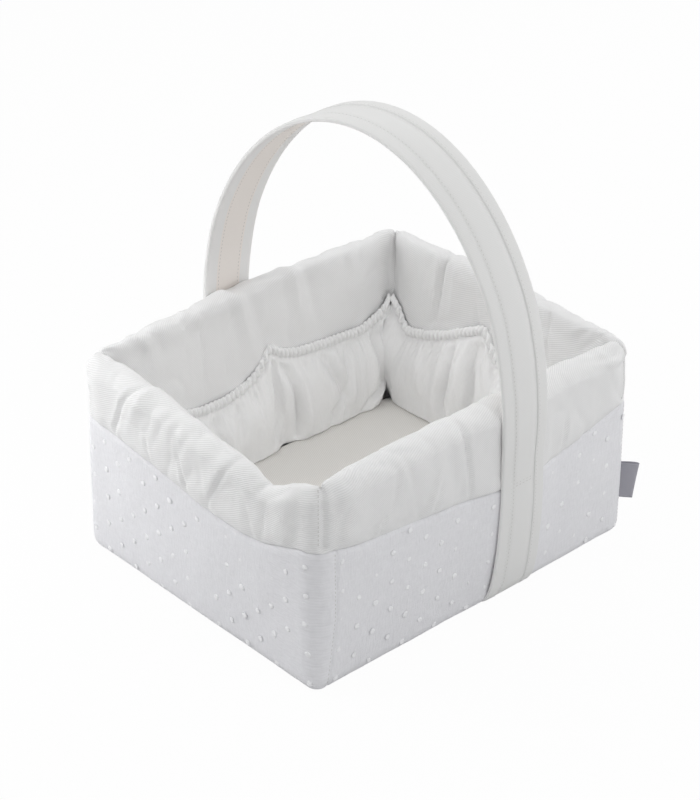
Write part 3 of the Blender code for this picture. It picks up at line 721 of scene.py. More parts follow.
def cuff_softness(points, up):
    """The cuff's small unevenness: soft lumps, fine creases, and puckers that fade up from the seam."""
    lumpy = sum(
        depth * MM * uneven(points, lump, seed)
        for depth, lump, seed in ((2.0, (34, 34, 46), 11.0), (0.8, (14, 14, 22), 5.0), (0.3, (6, 6, 9), 15.0))
    )
    creases = 0.9 * MM * ramp(1 - np.abs(uneven(points, (26, 26, 40), 17.0)) * 3.2) ** 2
    puckers = 0.75 * MM * uneven(points, (5.5, 5.5, 26), 21.0) * np.exp(-up / 0.011)
    return lumpy - creases + puckers - 0.9 * MM * np.exp(-up / 0.002)


def stray_folds():
    """Folds for the stretches that the listed ones leave bare, laid out by a fixed draw."""
    draw = np.random.default_rng(11)
    folds = []
    for first, last, low, high, step in STRAY_STRETCHES:
        for along in np.arange(first, last, step):
            start, lean = along + draw.uniform(-8, 8), draw.uniform(-14, 14)
            bottom = low + draw.uniform(0, 0.4) * (high - low)
            width, height = draw.uniform(2.2, 4.6), draw.choice((-1, -1, 1)) * draw.uniform(1.0, 2.6)
            middle = (start + lean * 0.4, (high + bottom) / 2)
            folds.append((width, height, (start + lean, high), middle, (start, bottom)))
    return folds


def corner_seams(u, v):
    """The upright seams at the cuff's corners, drawn in over the rim."""
    across = np.zeros_like(u)
    for seam in CORNER_SEAMS:
        far = past_seam(u * outline_length(), seam)
        across += -3.0 * MM * bell(far, 1.0 * MM) - 1.2 * MM * bell(far, 4 * MM)
    return across * ramp(v / 0.02) * ramp((0.62 - v) / 0.2)


# The pockets' shape

# The pockets' mouths, in millimetres along the wall from its middle, anticlockwise, and above the table
LONG_MOUTH = (
    (-142, 119), (-137, 113), (-131, 109.5), (-107, 103), (-96, 104), (-64, 106.5), (-35, 109.5),
    (-20, 114.5), (-13, 119.5), (-9, 122), (-5, 121), (-0.5, 113), (8, 104.5), (18, 99), (41, 93.5),
    (64, 94), (91, 100), (118, 106), (132, 111), (142, 119),
)
SHORT_MOUTH = (
    (-113, 119), (-106, 108), (-99, 100), (-90, 98), (-55, 99.5), (-30, 104), (-12, 113), (-5, 122),
    (0, 131), (4, 133.5), (9, 132.5), (24, 125), (45, 113.5), (68, 104), (86, 99), (92, 98.5), (96, 102),
    (103, 112), (113, 119),
)
# How much of its full depth the pockets' belly has along the wall
LONG_BELLY = (
    (-142, 0.06), (-137, 0.16), (-131, 0.36), (-124, 0.66), (-116, 0.9), (-106, 1), (-60, 1), (-35, 1),
    (-20, 0.9), (-9, 0.55), (0, 0.85), (18, 1), (70, 1), (106, 1), (116, 0.9), (124, 0.66), (131, 0.36),
    (137, 0.16), (142, 0.06),
)
SHORT_BELLY = (
    (-113, 0.85), (-109, 1.05), (-103, 1.12), (-94, 1.05), (-50, 1), (-18, 0.95), (-4, 0.75), (6, 0.6),
    (16, 0.9), (28, 1), (60, 1), (94, 1.05), (103, 1.12), (109, 1.05), (113, 0.85),
)
# The belly's section below the hem: share of its depth, and of its height above the mat
POCKET_SECTION = (
    (0.66, 0.90), (0.90, 0.75), (1.0, 0.58), (1.02, 0.40), (0.96, 0.22), (0.92, 0.09), (0.84, 0.004),
)
# Folds of a long and a short wall's strip: width and height, then places along the wall and above the table
LONG_FOLDS = (
    (3.4, -2.4, (31, 92), (31, 80), (34, 56)), (3.0, -2.0, (14, 90), (12, 80), (9, 60)),
    (3.6, -5.0, (-9, 108), (-9, 86), (-8, 60), (-5, 36)), (5.0, 2.2, (-18, 100), (-21, 74), (-20, 44)),
    (4.2, -6.0, (-13, 112), (-25, 88), (-29, 60), (-30, 42), (-28, 24)),
    (6, 1.8, (-36, 94), (-38, 60), (-40, 34)),
    (4.0, -4.6, (-58, 102), (-66, 84), (-74, 66), (-77, 53), (-69, 42), (-65, 24)),
    (5.0, 2.0, (-50, 94), (-62, 66), (-64, 54)), (3.2, -3.0, (-86, 94), (-84, 78), (-80, 50), (-79, 34)),
    (3.6, -4.4, (-118, 104), (-119, 86), (-121, 66), (-126, 46), (-110, 38), (-98, 28)),
    (3.4, 2.2, (-128, 104), (-132, 80), (-135, 52)), (5.0, 2.0, (-108, 92), (-112, 66), (-112, 50)),
    (3.8, -3.6, (52, 90), (56, 70), (50, 46), (52, 24)), (3.4, -2.6, (74, 92), (72, 66), (78, 44)),
    (5.0, 1.8, (64, 88), (64, 50)), (4.0, -4.2, (96, 96), (92, 70), (100, 48), (98, 26)),
    (3.6, -3.8, (118, 104), (119, 86), (122, 62), (116, 40)), (3.4, 2.0, (129, 104), (133, 78), (134, 54)),
    (4.0, 1.8, (40, 88), (43, 60), (40, 36)),
)
SHORT_FOLDS = (
    (4.4, -6.0, (36, 116), (33, 90), (34, 71), (38, 60), (36, 42), (38, 26)),
    (5.0, 2.4, (22, 116), (20, 86), (25, 56), (28, 40)),
    (3.8, -5.4, (8, 122), (11, 96), (9, 74), (12, 50), (8, 28)), (3.0, -2.6, (2, 124), (4, 104), (0, 84)),
    (2.8, -2.2, (-9, 116), (-13, 100), (-12, 78)), (5.0, 2.2, (-20, 100), (-22, 66), (-20, 40)),
    (3.8, -4.0, (-34, 100), (-32, 74), (-38, 52), (-36, 28)),
    (4.0, -3.8, (-62, 96), (-66, 70), (-60, 48), (-64, 26)), (5.0, 2.0, (-50, 92), (-50, 50)),
    (3.4, -2.6, (-82, 94), (-80, 66)), (3.2, -1.8, (60, 104), (60, 88)), (3.2, -1.8, (78, 98), (76, 82)),
    (6.0, 1.6, (66, 80), (62, 48)), (3.2, -1.6, (48, 108), (49, 92)),
)

# How much of a pocket's rows its hem has
HEM_SHARE = 0.38


def pocket_shape(wall):
    """The shape of one wall's strip: two pockets, tacked at both ends and midway, with a ruched hem."""
    long_wall = wall in ("front", "back")
    half_gap, half_run = half_sides() if long_wall else half_sides()[::-1]
    tables = (LONG_MOUTH, LONG_BELLY) if long_wall else (SHORT_MOUTH, SHORT_BELLY)
    mouth, belly = (np.array(table) * (MM, 1) for table in tables)
    _, ahead, out = wall_ways(WALLS.index(wall))
    reach = mouth[-1, 0]
    tack = mouth[np.argmax(mouth[3:-3, 1]) + 3, 0]
    seed = 3.7 * WALLS.index(wall)
    size = sizes()
    rests = size.mat_top + 0.0002
    back = size.wall_thickness + 0.0014

    def section(along, top, near_end):
        """How far the strip stands from the outline and how high, at control rows from the hem down."""
        full = ramp(1 - np.abs(along / half_run) ** 2.2)
        side = np.where(along < tack, (along + reach) / (tack + reach), (along - tack) / (reach - tack))
        stands = -inner_face(top, full) + 0.0006 + 0.0014 * np.sin(math.pi * ramp(side)) ** 0.6
        hem = size.hem_height
        rows = [
            (stands - 0.0016, top - hem), (stands - 0.0019, top - hem * 0.5), (stands - 0.0008, top - 0.0001),
            (stands + 0.0014, top - 0.0003), (stands + 0.0030, top - hem * 0.42),
            (stands + 0.0018, top - hem * 0.82), (stands + 0.0003, top - hem),
            (stands + 0.0034, top - hem * 1.5),
        ]
        hem_rows = len(rows) - 1
        for share, high in POCKET_SECTION:
            lean = (0.010 if long_wall else -0.004) * (1 - high)
            fullness = np.maximum(0, smooth_table(belly, np.clip(along + lean, -reach, reach), 0.0035))
            fullness = fullness * (1 - 0.5 * near_end * (1 - high) ** 2)
            depth = back + size.belly_depth * share * fullness
            height = rests + (top - hem * 1.5 - rests) * high
            rows.append((np.maximum(depth, stands * (0.4 + 0.5 * high)), height))
        under = back + 0.0045 * np.minimum(1, 2 * smooth_table(belly, along, 0.0035))
        rows.append((under, rests - 0.0035))
        rows.append((size.wall_thickness + 0.0012, size.floor_height + 0.0006))
        return rows, hem_rows

    def gathers(along, row, plain):
        """The ruched hem's beads, and how much it rises and falls with them."""
        phase = math.pi * (along + 0.9 * MM * wander(along, 11, seed + 1)) / size.gather_pitch
        beads = 1 - 2.4 * np.abs(np.cos(phase)) ** 2.4
        ruche = 1.5 * MM * beads * np.exp(-np.abs((row - 3.9) / 1.9) ** 3) * plain
        rise = 0.45 * MM * np.cos(2 * phase) * bell(row - 2.6, 1.2) * plain
        return ruche * (1 + 0.3 * wander(along, 4, seed + 2)), rise

    def drape(along, height, row, hem_rows):
        """The pleats that fan out below the hem, the listed folds and the gauze's unevenness."""
        middle = np.where(along < tack, tack - reach, tack + reach) / 2
        fan = along - (along - middle) * 0.12 * ramp((row - hem_rows) / 6)
        pleats = 2.3 * MM * billow(wander(fan, 5.0, seed + 3)) * bell(row - 7.0, 1.25)
        fine = 1.1 * MM * billow(wander(fan + 0.0015 * np.sin(row), 9, seed + 5)) * bell(row - 8.8, 2.2)
        laid = folded(along, height, LONG_FOLDS if long_wall else SHORT_FOLDS, 1.6, 10.0)
        cloth = np.stack([fan, height, 0 * fan + seed], axis=-1)
        soft = 1.4 * MM * uneven(cloth, (16, 30, 1000), 9) + 0.6 * MM * uneven(cloth, (6, 15, 1000), 4)
        return pleats + fine + 1.3 * laid + soft

    def shape(u, v):
        along = (2 * u - 1) * reach
        top = smooth_table(mouth, along, 0.002) * MM
        near_end = bell(reach - np.abs(along), 0.014)
        rows, hem_rows = section(along, top, near_end)
        count = len(rows) - 1
        below = hem_rows + (v - HEM_SHARE) / (1 - HEM_SHARE) * (count - hem_rows)
        row = np.where(v < HEM_SHARE, v / HEM_SHARE * hem_rows, below)
        depth, height = (catmull([r[k] * np.ones_like(u) for r in rows], row / count) for k in (0, 1))
        risen = ramp((height - rests) / (top - rests)) ** 0.8
        spread = 0 if long_wall else np.sign(along) * 0.0045 * near_end * np.sin(math.pi * risen)
        flat = (along + spread)[..., None] * ahead + (half_gap - depth)[..., None] * out
        points = np.concatenate([flat, height[..., None]], axis=-1)
        ruche, rise = gathers(along, row, ramp((reach - np.abs(along) - 0.004) / 0.006))
        free = ramp((row - 6.3) / 1.4) * ramp((count - 1.6 - row) / 0.9)
        points = points + square_to(points) * (ruche + free * drape(along, height, row, hem_rows))[..., None]
        points[..., 2] += rise
        held_up = (row > hem_rows) & (row < count - 1.5)
        points[..., 2] = np.where(held_up, np.maximum(points[..., 2], rests - 0.0004), points[..., 2])
        return points, np.stack([along + reach, lengths(points)], axis=-1)

    return shape


# The strap's shape

# The strap's centre line up a wall: heights and distances from the basket's middle
STRAP_SIDE = (
    (0.014, 0.1400), (0.020, 0.1410), (0.028, 0.1421), (0.038, 0.1432), (0.050, 0.1443), (0.062, 0.1451),
    (0.074, 0.1456), (0.088, 0.1459), (0.100, 0.1460), (0.110, 0.1461), (0.120, 0.1463), (0.130, 0.1466),
    (0.138, 0.1468),
)
# The arch of the handle: half its span, the height it springs from, and its rise
ARCH_HALF, ARCH_FOOT, ARCH_RISE = 0.147, 0.145, 0.2138
# How many rows the closed strap has along its length
STRAP_ROWS = 380


def strap_place(y, high, across):
    """Where a place across the strap lies along the basket. It leans at the wall and narrows at its tack."""
    widened = 1 + 0.07 * ramp(1 - high / 0.05) - 0.06 * bell(high - 0.118, 0.04)
    shifted = 0.0015 * ramp(high / 0.03) * ramp((0.125 - high) / 0.03)
    return strap_x(y) + shifted + across * widened


def along_line(line):
    """Distances from a line's first point to each of its points."""
    return np.concatenate([[0], np.cumsum(np.linalg.norm(np.diff(line, axis=0), axis=1))])


def strap_line():
    """The strap's closed centre line across the basket, as places and heights from the middle underneath."""
    size = sizes()
    turn = 0.0049
    inner = size.width / 2 + 0.0058 - turn
    base = 0.0003 + size.strap_thickness / 2
    line = [(inner * t, base) for t in np.linspace(0, 1, 40)]
    for angle in np.linspace(0, math.pi / 2, 7)[1:]:
        line.append((inner + turn * math.sin(angle), base + turn * (1 - math.cos(angle))))
    line += [(y, z) for z, y in STRAP_SIDE]
    for angle in np.linspace(0, math.pi / 2, 72):
        line.append((ARCH_HALF * math.cos(angle), ARCH_FOOT + ARCH_RISE * math.sin(angle)))
    half = np.array(line)
    closed = np.concatenate([half * (-1, 1), half[::-1][1:-1], half[:1] * (-1, 1)])
    far = along_line(closed)
    even = np.linspace(0, far[-1], STRAP_ROWS, endpoint=False)
    smooth = np.stack([np.interp(even, far, closed[:, k]) for k in (0, 1)], axis=-1)
    for _ in range(2):
        smooth = (np.roll(smooth, 1, axis=0) + 2 * smooth + np.roll(smooth, -1, axis=0)) / 4
    return smooth, far[-1]


def strap_frame():
    """The strap's centre line, its outward directions and thickness at each place, and its length."""
    size = sizes()
    line, total = strap_line()
    ahead = np.roll(line, -1, axis=0) - np.roll(line, 1, axis=0)
    ahead /= np.linalg.norm(ahead, axis=1, keepdims=True)
    outward = np.stack([ahead[:, 1], -ahead[:, 0]], axis=-1)
    inwards = (outward * (line - np.array([0, 0.12]))).sum(axis=1, keepdims=True) < 0
    stiff = ramp((line[:, 1] - 0.105) / 0.03)
    thick = size.strap_thickness + (size.handle_thickness - size.strap_thickness) * stiff
    return line, np.where(inwards, -outward, outward), thick, total


def strap_section():
    """The strap's section: places across it and shares of half its thickness, outside and back inside."""
    size = sizes()
    half, bind = size.strap_width / 2, size.strap_width / 2 - size.binding_width
    outer = [
        (-half, 0.0), (-half + 0.0002, 0.45), (-half + 0.0007, 0.75), (-half + 0.0020, 0.94),
        (-half + 0.006, 1.0), (-bind - 0.0022, 1.02), (-bind - 0.0008, 1.14), (-bind + 0.0001, 0.50),
        (-bind + 0.0008, 0.84),
        (-bind + 0.006, 0.90), (0, 0.92), (bind - 0.006, 0.90), (bind - 0.0007, 0.86), (bind - 0.0001, 0.20),
        (bind + 0.0005, 0.98), (bind + 0.0014, 1.04), (half - 0.006, 1.0), (half - 0.0020, 0.94),
        (half - 0.0007, 0.75), (half - 0.0002, 0.45),
    ]
    inner = [
        (half, 0.0), (half - 0.0003, -0.55), (half - 0.0012, -0.85), (half - 0.004, -1.0), (bind, -0.98),
        (0, -1.0), (-bind, -0.98), (-half + 0.004, -1.0), (-half + 0.0012, -0.85), (-half + 0.0003, -0.55),
    ]
    return np.array(outer + inner)


def strap_shape(u, v):
    """The strap as one closed band: u round its section, v along its length."""
    line, outward, thick, total = strap_frame()
    section = strap_section()
    row, col = np.arange(u.shape[0]) % len(line), np.arange(u.shape[1]) % len(section)
    deep = section[col, 1][None] * thick[row][:, None] / 2
    y, z = (line[row, k][:, None] + outward[row, k][:, None] * deep for k in (0, 1))
    x = strap_place(line[row, 0][:, None], line[row, 1][:, None], section[col, 0][None])
    round_it = along_line(section * (1, 0.0015))
    round_it = np.append(round_it, round_it[-1] + 0.001)
    cloth = np.stack([np.broadcast_to(round_it[:u.shape[1]], u.shape), v * total], axis=-1)
    return np.stack([x, y, z], axis=-1), cloth


# Stitches


def one_stitch():
    """A stitch: a short thread, lower at both ends."""
    size = sizes()
    start_clean()
    bpy.ops.mesh.primitive_uv_sphere_add(segments=6, ring_count=4, radius=0.5)
    one = bpy.context.object
    shape = points_of(one)[:, [2, 0, 1]] * (size.stitch_length, 0.55 * MM, 0.36 * MM)
    shape[:, 2] -= 0.5 * MM * (shape[:, 0] / size.stitch_length) ** 2 * 2
    lay(one, shape)
    return one


def stitch_places(line, out):
    """Matrices for stitches end to end along a line of points, each flat against the cloth that faces out."""
    pitch = sizes().stitch_length + 0.9 * MM
    far = along_line(line)
    ways = (line, np.gradient(line, axis=0), out)
    places = []
    for at in np.arange(pitch / 2, far[-1], pitch):
        where, ahead, up = (Vector([np.interp(at, far, way[:, k]) for k in range(3)]) for way in ways)
        ahead.normalize()
        side = up.cross(ahead).normalized()
        turned = Matrix((ahead, side, ahead.cross(side))).transposed().to_4x4()
        places.append(Matrix.Translation(where) @ turned)
    return places


def corner_stitches(seams, shape, low, high):
    """Matrices for the stitches up a cloth's upright seams, from one share of its height to another."""
    beside_mm, step = 1.7, 0.4 * MM
    places = []
    for seam in seams:
        along = (seam - beside_mm) * MM
        u = np.array([along - step, along, along + step]) / outline_length()
        points = shape(*np.meshgrid(u, np.linspace(low, high, 160)))[0]
        places += stitch_places(points[:, 1], square_to(points)[:, 1])
    return places


def strap_stitches():
    """Matrices for the stitches along the strap's bindings, outside and inside, and across its two tacks."""
    line, outward, thick, _ = strap_frame()
    bind = sizes().strap_width / 2 - sizes().binding_width
    shown = line[:, 1] > 0.006
    first = np.flatnonzero(shown & ~np.roll(shown, 1))[0]
    order = [k for k in (np.arange(len(line)) + first) % len(line) if shown[k]]
    outside = ((-bind - 1.6 * MM, 1), (-bind + 1.5 * MM, 1), (bind + 2.0 * MM, 1))
    inside = ((-bind + 2 * MM, -1), (bind - 2 * MM, -1))
    places = []
    for across, side in outside + inside:
        lift = side * thick[order] / 2 * (1.0 if side < 0 or abs(across) > bind else 0.84)
        y, z = (line[order, k] + outward[order, k] * lift for k in (0, 1))
        way = np.stack([strap_place(line[order, 0], line[order, 1], across), y, z], axis=-1)
        facing = side * np.stack([0 * y, outward[order, 0], outward[order, 1]], axis=-1)
        places += stitch_places(way, facing)
    tack_height, ends = 0.107, np.linspace(-bind + 3 * MM, bind - 3 * MM, 12)
    for end in (-1, 1):
        k = min(order, key=lambda i: abs(line[i, 1] - tack_height) + (0 if line[i, 0] * end > 0 else 1))
        for row in (-1.2 * MM, 1.2 * MM):
            x = strap_place(line[k, 0], line[k, 1], ends)
            y = line[k, 0] + outward[k, 0] * thick[k] * 0.46
            way = np.stack([x, y + 0 * x, line[k, 1] + row + 0 * x], axis=-1)
            places += stitch_places(way, np.tile([0, outward[k, 0], outward[k, 1]], (12, 1)))
    return places


# Pieces


def round_corners(flat, half, radius):
    """Places in a rectangle, drawn in at its corners to a radius."""
    over = np.maximum(np.abs(flat) - half + radius, 0)
    pull = over.max(axis=-1) / np.maximum(np.hypot(over[..., 0], over[..., 1]), 1e-9)
    return flat - np.sign(flat) * over * (1 - np.minimum(pull, 1))[..., None]


class LAYETTE_OT_cover(bpy.types.Operator):
    """Sews the dotted gauze cover round the walls and under the base"""

    bl_idname = "layette.cover"
    bl_label = "Dotted cover"

    def turn_grain(self, cover):
        """Marks where the gauze is cut across its grain, round the near corner."""
        x, y, _ = points_of(cover).T
        near_left = ramp((-0.084 - y) / 0.006) * (x < -0.15)
        grain = np.maximum(near_left, (y < -0.12) * (x < -0.1560))
        attribute = cover.data.attributes.new("turned_grain", "FLOAT", "POINT")
        attribute.data.foreach_set("value", grain.astype(np.float32))

    def base_shape(self, u, v):
        """A flat sheet with rounded corners, raised over the strap's channel."""
        size = sizes()
        half = np.array([size.length, size.width]) / 2 - 0.0021
        square = np.stack([2 * u - 1, 2 * v - 1], axis=-1) * half
        flat = round_corners(square, half, size.corner_radius - 0.002)
        side = np.abs(flat[..., 0] - strap_x(flat[..., 1])) - size.strap_width / 2
        rise = ramp((0.004 - side) / 0.003)
        height = 0.0005 + 0.0031 * rise * rise * (3 - 2 * rise)
        return np.concatenate([flat, height[..., None]], axis=-1), flat + half

    def execute(self, context):
        gauze = crinkled_gauze("Crinkled dotted cotton gauze", colours().cover)
        cover = cloth_grid(
            "cover_walls", 460, 52, lambda u, v: cover_shape(crowded(u, COVER_SEAMS), v), closed=True
        )
        self.turn_grain(cover)
        walls = [f"outer_panel_{w}" for w in WALLS] + [f"wall_padding_{w}" for w in WALLS]
        finish(cover, gauze, "basket", walls)
        base = cloth_grid("cover_base", 120, 100, self.base_shape)
        change_all(base, bpy.ops.mesh.flip_normals)
        finish(base, gauze, "basket", ["outer_base", "base_padding", "base_board"])
        return {"FINISHED"}


class LAYETTE_OT_dots(bpy.types.Operator):
    """Tufts the dots on the cover, in staggered columns"""

    bl_idname = "layette.dots"
    bl_label = "Tufted dots"

    def tuft(self):
        """One low, uneven tuft, 1 m wide before it is placed."""
        start_clean()
        bpy.ops.mesh.primitive_uv_sphere_add(segments=8, ring_count=5, radius=0.5)
        tuft = bpy.context.object
        shape = points_of(tuft) * (1, 1, 0.13)
        lay(tuft, shape * (1 + 0.25 * uneven(shape, (280, 280, 280), 4.0)[:, None]))
        return tuft

    def place(self, along, high):
        """The matrix of one tuft, a little off its place and with a size of its own."""
        jitter = noise.noise_vector(Vector((along * 100, high * 90, 5)))
        z = np.array([high + 0.7 * MM * jitter[1]])
        mark = outline(np.array([along + 0.7 * MM * jitter[0] / outline_length()]))
        where = Vector(raised(mark, outer_face(z, mark) + 0.1 * MM, z)[0])
        turn = Vector((*mark["turned"][0], -0.02)).normalized().to_track_quat("Z", "Y").to_matrix().to_4x4()
        grow = sizes().dot_width * (1 + 0.26 * jitter[2])
        sized = Matrix.Diagonal((grow, grow * (1 + 0.3 * jitter[1]), grow, 1))
        return Matrix.Translation(where) @ turn @ Matrix.Rotation(jitter[0] * 6, 4, "Z") @ sized

    def execute(self, context):
        size = sizes()
        # Unseeded, noise_vector would follow the clock and draw other dots each run.
        noise.seed_set(DOT_SEED)
        columns = round(outline_length() / size.dot_column)
        places = []
        for column in range(columns):
            along = (column + 0.5) / columns
            seam = float(seam_height(outline(np.array([along])))[0])
            start = 0.0065 + (size.dot_row / 2 if column % 2 else 0)
            places += [self.place(along, high) for high in np.arange(start, seam - 0.004, size.dot_row)]
        dots = copies("cover_dots", self.tuft(), places)
        finish(dots, tufted_cotton("Clipped cotton tufts", colours().dots), "basket")
        return {"FINISHED"}


class LAYETTE_OT_cuff(bpy.types.Operator):
    """Sews the cuff and lining, one band from the seam over the rim to the floor"""

    bl_idname = "layette.cuff"
    bl_label = "Cuff and lining"

    def floor_shape(self, u, v):
        """The floor between the walls, hardly uneven."""
        size = sizes()
        half = np.array([size.length, size.width]) / 2 - size.wall_thickness
        flat = np.stack([2 * u - 1, 2 * v - 1], axis=-1) * half
        level = np.concatenate([flat, 0 * flat[..., :1]], axis=-1)
        height = size.floor_height + 0.0001 + 0.2 * MM * uneven(level, (40, 40, 40), 2.0)
        level[..., 2] = np.minimum(height, size.floor_height + 0.0002)
        return level, flat + half

    def execute(self, context):
        # lining=1.03 paints the lining 3 % lighter than the cuff past the rim: painted light inside the
        # basket
        twill = fine_twill("Fine cotton twill", colours().cuff, lining=1.03)
        cuff = cloth_grid(
            "cuff_and_lining", 600, 126, lambda u, v: cuff_shape(crowded(u, CORNER_SEAMS), v), closed=True
        )
        finish(cuff, twill, "basket", [f"lining_{w}" for w in WALLS])
        floor = cloth_grid("floor_sheet", 60, 50, self.floor_shape)
        # The floor shares the twill's painted light: it is painted lighter from about 78 mm behind its front
        # edge, fully from 105 mm
        finish(floor, twill, "basket", ["floor_lining"])
        return {"FINISHED"}


class LAYETTE_OT_pockets(bpy.types.Operator):
    """Gathers a pocket strip on the inside of each wall"""

    bl_idname = "layette.pockets"
    bl_label = "Gathered pockets"

    def execute(self, context):
        # The last share sets the gauze's mottled tone with its painted crinkle shade and highlight
        gauze = crinkled_gauze("Gathered cotton gauze", colours().pocket, 1.8, 5.0, 0.5, 0.03)
        for wall in WALLS:
            reach = 2 * MM * (LONG_MOUTH if wall in ("front", "back") else SHORT_MOUTH)[-1][0]
            across = round(reach / sizes().gather_pitch * 7)
            strip = cloth_grid(f"pocket_strip_{wall}", across, 76, pocket_shape(wall))
            thicken(strip, 0.0006)
            finish(strip, gauze, "basket", [f"pocket_{wall}", f"pocket_elastic_{wall}"])
        return {"FINISHED"}


class LAYETTE_OT_mat(bpy.types.Operator):
    """Covers the loose base mat"""

    bl_idname = "layette.mat"
    bl_label = "Base mat"

    def pad(self, cube, half):
        """A finely cut cube made into a pad with soft edges, and how far in from its edge each point is."""
        radius, soft = 0.010, 0.0032
        dense = math.pi / 2 * 0.985
        flat = round_corners(np.sin(cube[:, :2] * dense) / math.sin(dense) * half[:2], half[:2], radius)
        edge = np.minimum(*(half[:2] - np.abs(flat)).T)
        edge = np.minimum(edge, radius - np.hypot(*np.maximum(np.abs(flat) - half[:2] + radius, 0).T))
        crown = np.sqrt(ramp(1 - (1 - ramp(edge / soft)) ** 2))
        shrink = 0.0012 * (1 - np.sqrt(ramp(1 - cube[:, 2] ** 2)))
        flat -= np.sign(flat) * (np.minimum(np.abs(flat) / half[:2], 1) ** 40) * shrink[:, None]
        return np.c_[flat, cube[:, 2] * half[2] * (0.42 + 0.58 * crown)], edge

    def execute(self, context):
        low, high = (np.array(c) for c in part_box("mat_cover"))
        start_clean()
        bpy.ops.mesh.primitive_cube_add(size=2)
        mat = context.object
        mat.name = mat.data.name = "base_mat"
        change_all(mat, bpy.ops.mesh.subdivide, number_cuts=47)
        cube = points_of(mat)
        pad, edge = self.pad(cube, (high - low) / 2)
        place = pad + (low + high) / 2
        top = (cube[:, 2] > 0.99) & (edge > 0.002)
        place[top, 2] -= 0.09 * MM * (1 + uneven(place[top] * [1, 1, 0], (45, 38, 1), 6.0))
        lay(mat, place, place[:, :2] + place[:, 2:])
        bpy.ops.object.shade_smooth()
        twill = fine_twill("Brushed cotton twill", colours().mat, 0.2)
        finish(mat, twill, "mat", ["mat_cover", "mat_board", "mat_wadding"])
        return {"FINISHED"}


class LAYETTE_OT_strap(bpy.types.Operator):
    """Sews the strap: under the base, up both long walls and over as the handle"""

    bl_idname = "layette.strap"
    bl_label = "Strap handle"

    def inner_faces(self, strap):
        """For each face of the strap: 0 outside, 1 on the lining inside, 2 on the bindings' inner faces,
        which take the strap's cloth painted lighter as painted light.
        """
        middle = np.array([f.center for f in strap.data.polygons]) - (0, 0, 0.12)
        facing = np.array([f.normal for f in strap.data.polygons])
        bind = sizes().strap_width / 2 - sizes().binding_width
        between = np.abs(middle[:, 0] - strap_x(middle[:, 1])) < bind
        inward = (middle * facing)[:, 1:].sum(axis=1) < 0
        return np.where(inward, np.where(between, 1, 2), 0)

    def execute(self, context):
        strap = cloth_grid("strap_band", len(strap_section()), STRAP_ROWS, strap_shape, closed=True)
        change_all(strap, bpy.ops.mesh.normals_make_consistent, inside=False)
        replaced = [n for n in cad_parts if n.startswith(("lower_strap", "handle_"))]
        finish(strap, plain_weave("Plain-woven cotton", colours().strap), None, replaced)
        strap.data.materials.append(plain_weave("Plain-woven cotton lining", colours().strap_lining))
        # The bindings' inner faces get a lighter copy of the strap's cloth: painted light
        strap.data.materials.append(plain_weave("Plain-woven cotton binding painted light", colours().strap_inside_painted_light))
        strap.data.polygons.foreach_set("material_index", self.inner_faces(strap))
        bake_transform(strap)
        return {"FINISHED"}


class LAYETTE_OT_stitches(bpy.types.Operator):
    """Sews the visible stitches along the strap and up the corner seams"""

    bl_idname = "layette.stitches"
    bl_label = "Stitches"

    def execute(self, context):
        # The thread's darker colour is painted shade where the stitches sink into the cloth
        thread = plain_weave("Sewing thread", colours().thread)
        places = corner_stitches(COVER_SEAMS, cover_shape, 0.05, 0.97)
        places += corner_stitches(CORNER_SEAMS, cuff_shape, 0.02, 0.30)
        corner = copies("corner_stitches", one_stitch(), places)
        finish(corner, thread, "basket")
        strap = copies("strap_stitches", one_stitch(), strap_stitches())
        finish(strap, thread, None)
        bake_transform(strap)
        return {"FINISHED"}


class LAYETTE_OT_label(bpy.types.Operator):
    """Folds the blank satin label into the corner seam"""

    bl_idname = "layette.label"
    bl_label = "Side label"

    def shape(self, u, v):
        """A ribbon out of the seam, round its fold and back, a little curled."""
        low, high = (np.array(c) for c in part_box("side_label"))
        out, side = (np.array([1, turn, 0]) / math.sqrt(2) for turn in (-1, 1))
        root = np.array([low[0], high[1], 0]) + 0.0005 * out
        go = 1 - np.abs(2 * u - 1)
        reach = (0.0192 + 0.0038 * v) * np.sin(go * math.pi / 2) ** 0.8
        apart = 0.0011 * np.sin(go * math.pi) * (0.5 + 0.5 * v)
        gap = 0.0004 * np.cos(u * math.pi) + np.sign(0.5 - u) * apart
        curl = 0.0016 * go**2 * np.sin(v * 2.2 + 0.4)
        points = root + reach[..., None] * out + (gap + curl)[..., None] * side
        points[..., 2] = low[2] + (high[2] - low[2]) * v - 0.0016 * go**1.5
        return points, np.stack([u * 0.042, v * (high[2] - low[2])], axis=-1)

    def execute(self, context):
        label = cloth_grid("label_loop", 24, 16, self.shape)
        thicken(label, 0.0002, 0)
        ribbon = satin("Polyester satin ribbon", colours().label)
        finish(label, ribbon, "basket", ["side_label"])
        return {"FINISHED"}


# The stage

# The camera: its azimuth, elevation and roll in degrees, and its place
CAMERA_ANGLES = (-42.656, 30.932, 0.364)
CAMERA_PLACE = (-1.12180129, -1.2090041, 1.11250745)

